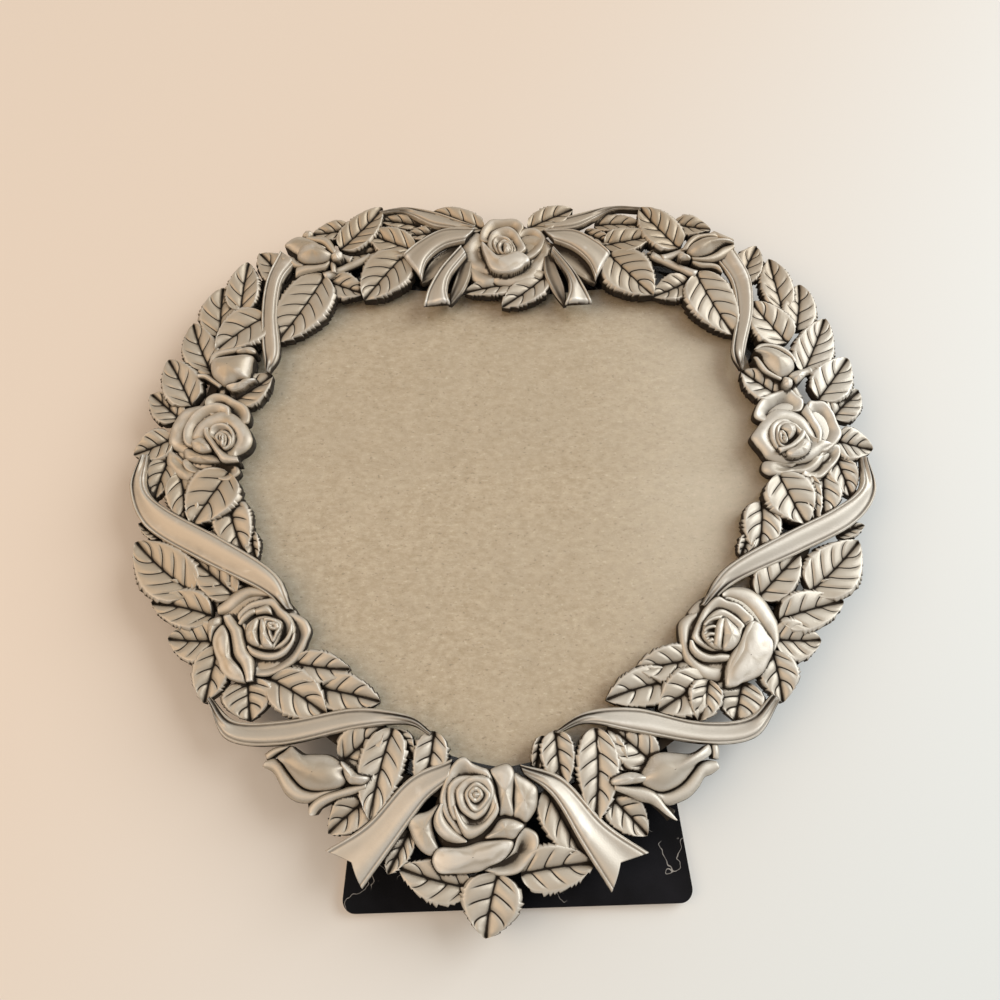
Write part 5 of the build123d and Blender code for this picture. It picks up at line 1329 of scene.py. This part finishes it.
LOWER_RIGHT_BUD = [
    ("fold", 3.6, [(48.2, -60), (48.1, -61.5), (48.2, -63)], [(49.9, -60), (50, -61.6), (49.7, -63.2)]),
    ("fold", 4.2, [(33, -69.6), (35, -70.2), (37.5, -70.1), (39.8, -69.2), (41.8, -67.8), (43.7, -65.7),
     (45.2, -64.1), (47, -63.3), (49.2, -63.6)], [(34, -70.8), (36, -72.3), (37, -73.4), (40.8, -72.3),
     (43, -71.1), (45, -69.1), (46.3, -67.2), (48, -66.5), (49.8, -65.2)]),
    ("dome", 4.6, (39, -65.5), [(31.5, -66.6), (33, -64.5), (34.5, -62.5), (37, -61.6), (40, -61.7),
     (43, -61.9), (45.5, -61.2), (47, -60.2), (48, -60), (48.3, -61.8), (46.8, -63), (45, -64),
     (43.5, -65.8), (41.5, -67.9), (39.5, -69.3), (37, -70.2), (34.8, -70.2), (32.5, -69.3), (31, -68)]),
    ("bulge", 5.3, (29.5, -67.5), [(25, -67.5), (28, -66.2), (30.5, -66.1), (33.4, -67.2), (32, -68.2),
     (29.5, -68.6), (27, -68.8), (25, -68.7)]),
    ("fold", 4.8, [(25.5, -68.4), (29, -69), (32, -69), (34, -69.6), (35.5, -71), (36.7, -73),
     (38, -74.6), (39.2, -76.2)], [(25.5, -69.9), (28.5, -71), (31, -72.2), (33.5, -72.8), (35, -73.6),
     (36.7, -75), (38.3, -76), (39, -76.3)]),
]
print(len(LOWER_LEFT_BUD) + len(LOWER_RIGHT_BUD), "forms")

# %% The two buds at the top
TOP_LEFT_BUD = [
    ("bulge", 4.2, (-56.3, 82.7), [(-58.5, 82), (-57.5, 84), (-56, 84), (-55.3, 82.5), (-56.5, 81.2)]),
    ("bulge", 4.4, (-58, 79), [(-63.2, 78.5), (-63, 79.5), (-61.5, 81), (-59.5, 82), (-57.5, 81.8),
     (-55.5, 81), (-53, 79), (-51, 77.5), (-58, 75), (-60, 76), (-62, 77.5)]),
    ("fold", 4.8, [(-57.5, 82), (-54, 82.2), (-51, 81.8), (-49.5, 80), (-48.2, 77.2)], [(-57, 81.2),
     (-55, 80.2), (-52.5, 79.3), (-50.5, 77.2), (-49, 75.8)]),
    ("fold", 4.2, [(-63.8, 75.2), (-60.5, 75.2), (-59, 73.5), (-57, 72.5)], [(-63.6, 74), (-62, 72.7),
     (-60, 71.4), (-57.5, 71.3)]),
    ("fold", 4.7, [(-59.4, 72), (-57, 72.5), (-54, 72.3), (-51.5, 72.8), (-49.8, 74)], [(-59.4, 68.4),
     (-57, 69.2), (-54, 70), (-51, 70.9), (-49.8, 72.6)]),
    ("dome", 5.0, (-54.5, 76), [(-59.5, 76), (-58.8, 78), (-57, 79.4), (-54.5, 80), (-52.5, 79),
     (-50.5, 77), (-49, 75.5), (-49.5, 74), (-51.5, 72.8), (-54.5, 72.3), (-57, 72.6), (-59, 74)]),
    ("bulge", 5.6, (-48, 75.4), [(-49.3, 76), (-48, 77.2), (-46.5, 76.5), (-46.2, 75), (-47, 73.8),
     (-48.8, 73.8), (-49.6, 74.8)]),
    ("fold", 4.2, [(-49.8, 74.2), (-49.6, 72), (-49, 69.8)], [(-48.3, 74.2), (-47.9, 72), (-47.7, 69.6)]),
]
TOP_RIGHT_BUD = [
    ("fold", 4.4, [(62, 84.5), (64.3, 82.8), (67.4, 80.8)], [(61.5, 82), (64, 81), (67, 80.4)]),
    ("fold", 4.8, [(52, 77.5), (53.5, 80), (55.5, 82.3), (58, 83), (60.5, 83.4), (62, 84.6)], [(54, 77.4),
     (55, 79.3), (57.2, 81), (60, 81.8), (62, 81.9), (63.5, 81.6)]),
    ("fold", 4.9, [(54.5, 74.8), (57.5, 74.8), (59.8, 75.6), (62, 77), (64, 78.8),
     (67.3, 79.4)], [(55, 73.9), (57.5, 73.5), (60.5, 73.4), (63, 74.3), (65.5, 76), (67.4, 78.2)]),
    ("fold", 4.3, [(54.6, 74), (57, 73.2), (60, 72.9), (62.3, 72), (63, 69.6)], [(54.6, 72.8), (57, 71.4),
     (60, 71.2), (61.6, 70.6), (62.8, 69.4)]),
    ("dome", 5.0, (59.5, 78.6), [(53.5, 77.2), (55, 79.5), (57.5, 81.2), (60, 82), (62.5, 81.7),
     (64.5, 80.8), (67, 80.5), (67.5, 79.7), (65, 79.3), (62.8, 78), (60.5, 76.2), (58, 75), (55.5, 74.7),
     (53.8, 75.6)]),
    ("bulge", 5.5, (52.6, 75.2), [(51, 76.5), (52.5, 76.3), (54.3, 74.9), (54, 74), (52, 74),
     (51, 74.6)]),
]
print(len(TOP_LEFT_BUD) + len(TOP_RIGHT_BUD), "forms")

# %% The two buds at the sides
LEFT_BUD = [
    ("fold", 4.9, [(-80.2, 39.8), (-80.2, 43), (-77.5, 44.4), (-74.5, 45), (-72.5, 45.6)], [(-79.2, 40.6),
     (-78.4, 41.8), (-76, 42.7), (-73.5, 43.3), (-71.3, 44)]),
    ("bulge", 5.1, (-70.4, 44), [(-73.3, 44.5), (-71.5, 45), (-69.5, 45.2), (-68, 44.3), (-68, 43),
     (-70, 42.9), (-73, 43.1)]),
    ("dome", 5.0, (-74.5, 38.5), [(-80, 39.8), (-79.3, 41.5), (-77.5, 42.2), (-74, 42.6), (-71, 42.8),
     (-69, 42.6), (-68.2, 41.8), (-68.3, 39.5), (-68.6, 37), (-69, 35), (-71.5, 34.6), (-73, 33.6),
     (-75.2, 33), (-77, 34), (-78.8, 35.7), (-79.7, 37.8)]),
    ("bulge", 5.0, (-71, 33.6), [(-75, 32.8), (-73.5, 33.5), (-71.8, 34.2), (-70, 35.3), (-67, 35.2),
     (-69, 33.5), (-70.5, 32.2), (-73, 31.5)]),
    ("fold", 4.5, [(-83, 36.8), (-80.5, 36.6), (-78.3, 35.2), (-75.8, 33.4)], [(-83, 35.7), (-81, 35.4),
     (-79, 34), (-76.8, 32.6)]),
]
RIGHT_BUD = [
    ("fold", 4.9, [(69.4, 44.4), (71, 46), (73.5, 46.3), (76.5, 45.7), (79, 44),
     (80.6, 41)], [(70.2, 44.3), (72, 44.9), (74.5, 44.8), (77, 43.6), (79.1, 41.8), (79.9, 40.2)]),
    ("dome", 5.0, (75, 40.5), [(70.2, 44.8), (72, 45.2), (74.5, 45), (77, 43.8), (79.3, 41.8), (80, 40),
     (79.8, 38.5), (78.5, 36.6), (76.5, 35.5), (75, 35.6), (73, 37.5), (71.5, 40), (70.8, 42.5),
     (69.5, 44)]),
    ("fold", 5.0, [(69, 42), (69.7, 40.2), (71, 37.8), (73, 36.2), (75.6, 34.8)], [(70.2, 42),
     (71.2, 40.4), (72.5, 38), (74, 36.8), (76, 35.4)]),
    ("bulge", 5.6, (77.4, 34.4), [(76.2, 34.6), (76.6, 35.8), (78, 35.8), (78.8, 34.8), (78.6, 33.2),
     (77.3, 32.6), (76.3, 33.4)]),
    ("bulge", 5.0, (80.4, 36), [(77.8, 36), (79.5, 37.6), (81.5, 37.8), (82.8, 37), (82, 35.5), (80, 34),
     (79, 34.8)]),
]
print(len(LEFT_BUD) + len(RIGHT_BUD), "forms")

# %% All the buds, and their stems
BUDS = [*LOWER_LEFT_BUD, *LOWER_RIGHT_BUD, *TOP_LEFT_BUD, *TOP_RIGHT_BUD, *LEFT_BUD, *RIGHT_BUD]
STEMS = [
    ((-50.8, 67.6), (-38.0, 74.6), 2.2, 1.6),
    ((-48.5, 75.0), (-43.5, 73.4), 2.2, 1.8),
    ((55.2, 68.3), (43.0, 75.2), 2.2, 1.6),
    ((52.2, 76.0), (46.0, 74.0), 2.2, 1.8),
    ((-74.8, 33.6), (-75.5, 29.0), 1.8, 1.8),
    ((-76.5, 34.6), (-82.5, 37.6), 1.6, 1.4),
    ((77.6, 35.0), (79.5, 29.0), 1.8, 1.8),
    ((79.0, 36.2), (84.0, 37.6), 1.6, 1.4),
    ((-36.2, -68.0), (-29.0, -67.3), 2.0, 2.0),
    ((-36.5, -70.6), (-43.3, -73.8), 1.8, 0.8),
    ((30.5, -67.5), (24.0, -67.4), 2.0, 2.0),
    ((31.5, -69.8), (38.0, -75.2), 1.8, 0.8),
]
STEM_RADIUS = 1.2
print(len(BUDS), "bud forms and", len(STEMS), "stems")

# %% [markdown]
# ## Building the wreath
# The whole casting is one material, but a piece should stay under 200,000 triangles. So the
# leaves go into four gatherings, by side and by height, and the roses into two. A form is
# put where its first place lies.

# %% Gather the leaves
leaf_gatherings = {(side, half): Gathering("leaves_" + half + "_" + side)
                   for side in ("left", "right") for half in ("upper", "lower")}
UPPER_FROM_Y = 5.0
for order, (x, y, tip_x, tip_y, width, stem_lift, tip_lift) in enumerate(LEAVES):
    place = ("left" if x < 0 else "right", "upper" if y > UPPER_FROM_Y else "lower")
    leaf_form(leaf_gatherings[place], (x, y), (tip_x, tip_y), width, stem_lift, tip_lift, order)
print({gathering.name: gathering.count for gathering in leaf_gatherings.values()})

# %% Gather the ribbons
ribbon = Gathering("ribbon")
for bands, form in ((RIBBONS, {}), (LOOPS, {"folded": True}), (LOOP_INSIDES, {"inside": True})):
    for edge_a, edge_b, lift in bands:
        ribbon_form(ribbon, edge_a, edge_b, lift, **form)
for outer, notch, inner in TAILS:
    end = (np.array(outer[-1]) + inner[0]) / 2
    ribbon_form(ribbon, outer, inner[::-1], TAIL_LIFT, notch=math.dist(notch, end))
print(ribbon.name, ribbon.count, "points")

# %% Gather the roses and the buds
roses_upper, roses_lower, buds = Gathering("roses_upper"), Gathering("roses_lower"), Gathering("buds")
for x, y, radius in ROSE_GROUNDS:
    clock = [k * math.pi / 6 for k in range(12)]
    ring = [(x + radius * math.cos(hour), y + radius * math.sin(hour)) for hour in clock]
    petal_form(roses_upper if y > 0 else roses_lower, "bulge", GROUND_LEVEL, (x, y), ring, floor=LEDGE)
for forms in (ROSES, BUDS):
    for kind, level, first, second in forms:
        y = first[0][1] if kind == "fold" else first[1]
        into = buds if forms is BUDS else roses_upper if y > 0 else roses_lower
        if kind == "fold":
            fold_form(into, level, first, second)
        else:
            petal_form(into, kind, level, first, second)
for start, end, start_lift, end_lift in STEMS:
    rod_form(buds, (*start, LEDGE + start_lift), (*end, LEDGE + end_lift), STEM_RADIUS)
print({gathering.name: gathering.count for gathering in (roses_upper, roses_lower, buds)})

# %% Gather the wall and its bosses
WALL_OVERLAP = 1.0               # of the wall with the leaves over it
BOSS_RADIUS = 3.0
# where the bosses leave the outline, and the way outwards in degrees
BOSSES = [((65.0, 62.5), 41), ((65.0, -31.0), 320), ((-65.0, -31.0), 220), ((-65.0, 62.5), 139)]

wall = Gathering("casting_wall")
wall_low, wall_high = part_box("wreath_casting")[0].z / MM, LEDGE + WALL_OVERLAP
wall_form(wall, wall_low, wall_high)
for (x, y), degrees in BOSSES:
    out, angle = WALL_CLEARANCE + BOSS_RADIUS, math.radians(degrees)
    middle = (x + out * math.cos(angle), y + out * math.sin(angle))
    rod_form(wall, (*middle, wall_low), (*middle, wall_high), BOSS_RADIUS / (1 + ROD_FLARE), around=40)
print(wall.name, "from", round(wall_low, 2), "to", round(wall_high, 2), "mm")

# %% [markdown]
# ## Patina and painted shade in the recesses
# The dip stays wherever the casting lies lower than what is round it, and painted shade darkens
# the same places. Blender can bake such a shade as ambient occlusion, but that is slow and has to
# be kept in an image. Here the heights of all the forms go into one map, seen from above. Each vertex is
# compared with the map blurred a little, for the fine recesses, and blurred more, for the deep ones.

# %% Compare each vertex with what is round it
MAP_STEP, MAP_HALF = 0.3, 110.0
GROUND_OVER_LEDGE = 0.5
NEAR_BLUR, FAR_BLUR = 0.45, 1.5          # in mm
# the most it adds, and how many mm under or over the map it starts and is full, near and far
# the recesses darken with patina and painted shade
RECESS_PATINA_AND_SHADE = ((0.78, 0.05, 0.55), (0.50, 0.30, 2.0))
CREST = ((0.45, 0.05, 0.45), (0.25, 0.2, 1.6))


def blurred(heights, sigma):
    """The heights blurred by a bell curve, with sigma in millimetres."""
    waves = np.fft.fftfreq(heights.shape[0], MAP_STEP)
    drop = np.exp(-2 * (np.pi * sigma * waves) ** 2)
    return np.real(np.fft.ifft2(np.fft.fft2(heights) * drop[:, None] * drop[None, :]))


def map_cells(gathering):
    """All points of a gathering, and the row and the column of the map that each lies in."""
    points = np.vstack(gathering.points)
    return points, *((points[:, :2] + MAP_HALF) / MAP_STEP).astype(int).T


def height_map(gatherings):
    """The greatest height in each cell. Small holes between vertices are filled from beside."""
    cells = int(2 * MAP_HALF / MAP_STEP)
    ground = LEDGE + GROUND_OVER_LEDGE
    heights = np.full((cells, cells), ground)
    for gathering in gatherings:
        points, i, j = map_cells(gathering)
        np.maximum.at(heights, (i, j), points[:, 2])
    beside = [(a, b) for a in (-1, 0, 1) for b in (-1, 0, 1)]
    for _ in range(3):
        spread = np.maximum.reduce([np.roll(heights, shift, (0, 1)) for shift in beside])
        heights = np.where(heights <= ground, np.where(spread > ground, spread - 0.05, ground), heights)
    return heights


def depth_shade(parts, depths):
    """A shade that grows with the depth, near and far."""
    return sum(most * smoothstep(start, full, depth) for (most, start, full), depth in zip(parts, depths))


def settle_patina_and_shade(gatherings):
    """Darkens the recesses with patina and painted shade, and brightens the crests of all the gatherings."""
    heights = height_map(gatherings)
    maps = [blurred(heights, sigma) for sigma in (NEAR_BLUR, FAR_BLUR)]
    for gathering in gatherings:
        points, i, j = map_cells(gathering)
        below = [surface[i, j] - points[:, 2] for surface in maps]
        recess_darkening = depth_shade(RECESS_PATINA_AND_SHADE, below)
        crest = depth_shade(CREST, [-depth for depth in below])
        shades = gathering.shades
        shades["patina"] = [np.clip(np.concatenate(shades["patina"]) + recess_darkening, 0, 1)]
        shades["rubbed"] = [np.clip(np.concatenate(shades["rubbed"]) * 0.6 + crest, 0, 1)]


castings = [*leaf_gatherings.values(), ribbon, roses_upper, roses_lower, buds, wall]
settle_patina_and_shade(castings)
print("patina kept:", {g.name: round(float(g.shades["patina"][0].mean()), 2) for g in castings})

# %% [markdown]
# ## From gatherings to pieces
# Each gathering becomes one mesh whose object sits at the origin, as a CAD node does. All
# the pieces of the casting ride on the frame's body, share the pewter material and stand in for the CAD
# node of the casting. Faces are smooth, but for the flat backs, whose edges stay crisp.

# %% Mesh the casting
def add_piece(name, mesh, body):
    """A mesh as an object in the scene, riding on its body."""
    piece = bpy.data.objects.new(name, mesh)
    bpy.context.scene.collection.objects.link(piece)
    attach(piece, body)
    return piece


def casting_piece(gathering):
    """A gathering as one piece of the casting. A quad whose ends meet is a triangle."""
    points = np.vstack(gathering.points) * MM
    quads = np.vstack(gathering.faces)
    end_meets = quads[:, 2] == quads[:, 3]
    start_meets = quads[:, 1] == quads[:, 2]
    faces = [(q[0], q[1], q[3]) if start else tuple(q[:3]) if end else tuple(q)
             for q, end, start in zip(quads.tolist(), end_meets, start_meets)]
    mesh = bpy.data.meshes.new(gathering.name)
    mesh.from_pydata(points.tolist(), [], faces)
    for name, values in gathering.shades.items():
        shade = mesh.attributes.new(name, "FLOAT", "POINT")
        shade.data.foreach_set("value", np.concatenate(values).astype(np.float32))
    mesh.polygons.foreach_set("use_smooth", np.ptp(points[quads][:, :, 2], axis=1) > 1e-7)
    mesh.materials.append(pewter)
    triangles = sum(len(face.vertices) - 2 for face in mesh.polygons)
    print(gathering.name, triangles, "triangles")
    return add_piece(gathering.name, mesh, "frame")


wreath = [casting_piece(gathering) for gathering in castings]
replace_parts(wreath[0], "wreath_casting")

# %% [markdown]
# ## The back's board
# The board is a flat plate, cut to the back's outline less the velvet at its edge. The CAD's
# mesh would do, but for the holes of the hinge's prongs: on the real board an unbroken
# paper face lies over them. So the plate is made from the outline, a hair thicker.

# %% The kraft board
VELVET_THICKNESS = 0.3
BOARD_PAPER = 0.02


def kraft_board():
    low, high = (corner.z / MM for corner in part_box("backing_board"))
    outline, outwards = back_outline()
    outline = outline - outwards * VELVET_THICKNESS
    loops = [np.column_stack([outline, np.full(len(outline), z)]) for z in (low, high + BOARD_PAPER)]
    count = len(outline)
    upper_loop = range(2 * count - 1, count - 1, -1)
    sides = [(count + k, count + (k + 1) % count, (k + 1) % count, k) for k in range(count)]
    mesh = bpy.data.meshes.new("kraft_board")
    mesh.from_pydata((np.vstack(loops) * MM).tolist(), [], [tuple(range(count)), tuple(upper_loop), *sides])
    mesh.materials.append(board_back)
    return add_piece("kraft_board", mesh, "frame")


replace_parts(kraft_board(), "backing_board")

# %% [markdown]
# ## Velvet
# The velvet is glued down flat on the board and on both faces of the leg, so it can't sag or
# crease, and a cloth simulation would have nothing to do. Each sheet is a copy of its CAD
# node's mesh. A leg's sheet is as large flat as its node. On the real frame the back's velvet is cut about 10
# mm larger all round, because it turns over the board's edge and is glued down at its front.


def velvet_sheet(name, node_name, body):
    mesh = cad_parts[node_name].data.copy()
    mesh.materials.clear()
    mesh.materials.append(velvet)
    piece = add_piece(name, mesh, body)
    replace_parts(piece, node_name)


velvet_sheet("velvet_on_back", "back_velvet", "frame")
velvet_sheet("velvet_on_leg_front", "leg_velvet_front", "easel_leg")
velvet_sheet("velvet_on_leg_back", "leg_velvet_back", "easel_leg")

# %% [markdown]
# ## The table top
# The frame lies on a smooth pale surface. Its colour turns from cream to white across the
# picture, partly by the light and partly by what it reflects, so a slow ramp from the far
# left to the near right helps the lamps along. Nothing else of the room is made.

# %% Table top
CREAM, COOL_WHITE = "E3D5C7", "E3EAED"
SLANT = 0.6                      # how far the ramp leans from X to Y
SLANT_RANGE = (-0.13, 0.19)      # metres along it


def painted_table():
    material, add, place = start_material("table_top")
    down = add("Math", add("SeparateXYZ", place, output="Y"), SLANT, operation="MULTIPLY")
    slant = add("Math", add("SeparateXYZ", place, output="X"), down, operation="SUBTRACT")
    white = add("MapRange", slant, *SLANT_RANGE, **SOFT)
    tone = add("Mix", white, linear(CREAM), linear(COOL_WHITE), **COLOUR)
    add("OutputMaterial", add("BsdfPrincipled", named={"Base Color": tone, "Roughness": 0.6}))
    return material


bpy.ops.mesh.primitive_plane_add(size=6.0, location=(0, 0, 0))
table = bpy.context.object
table.name = "table"
table.data.materials.append(painted_table())
print("table top in place")

# %% [markdown]
# ## Light
# A window stands to the right and a warm wall throws some of its light back from the left.
# Both are broad lamps, because the photograph's shadows have soft edges. The rest of the
# room is an even pale sky. A sun lamp would give hard shadows between the petals.

# %% Window, wall and room
AIM = Vector((0, 0, 0.01))


def area_lamp(name, place, size, power, colour):
    """A square lamp that faces the frame, in metres and watts."""
    lamp = bpy.data.lights.new(name, "AREA")
    lamp.shape, lamp.size, lamp.energy, lamp.color = "SQUARE", size, power, linear(colour)[:3]
    holder = bpy.data.objects.new(name, lamp)
    holder.location = Vector(place)
    holder.rotation_euler = (AIM - Vector(place)).to_track_quat("-Z", "Y").to_euler()
    bpy.context.scene.collection.objects.link(holder)
    return holder


area_lamp("window", (1.1, 0.5, 0.9), 1.1, 18.4, "F2F5F5")
area_lamp("wall", (-0.7, -0.1, 0.8), 0.9, 4.4, "FFD9AE")
world = bpy.data.worlds.new("studio")
bpy.context.scene.world = world
world.use_nodes = True
room_light = world.node_tree.nodes["Background"].inputs
room_light["Color"].default_value = linear("E8E4DE")
room_light["Strength"].default_value = 0.56
bpy.context.scene.view_settings.view_transform = "Standard"
print("two lamps and the room's light")
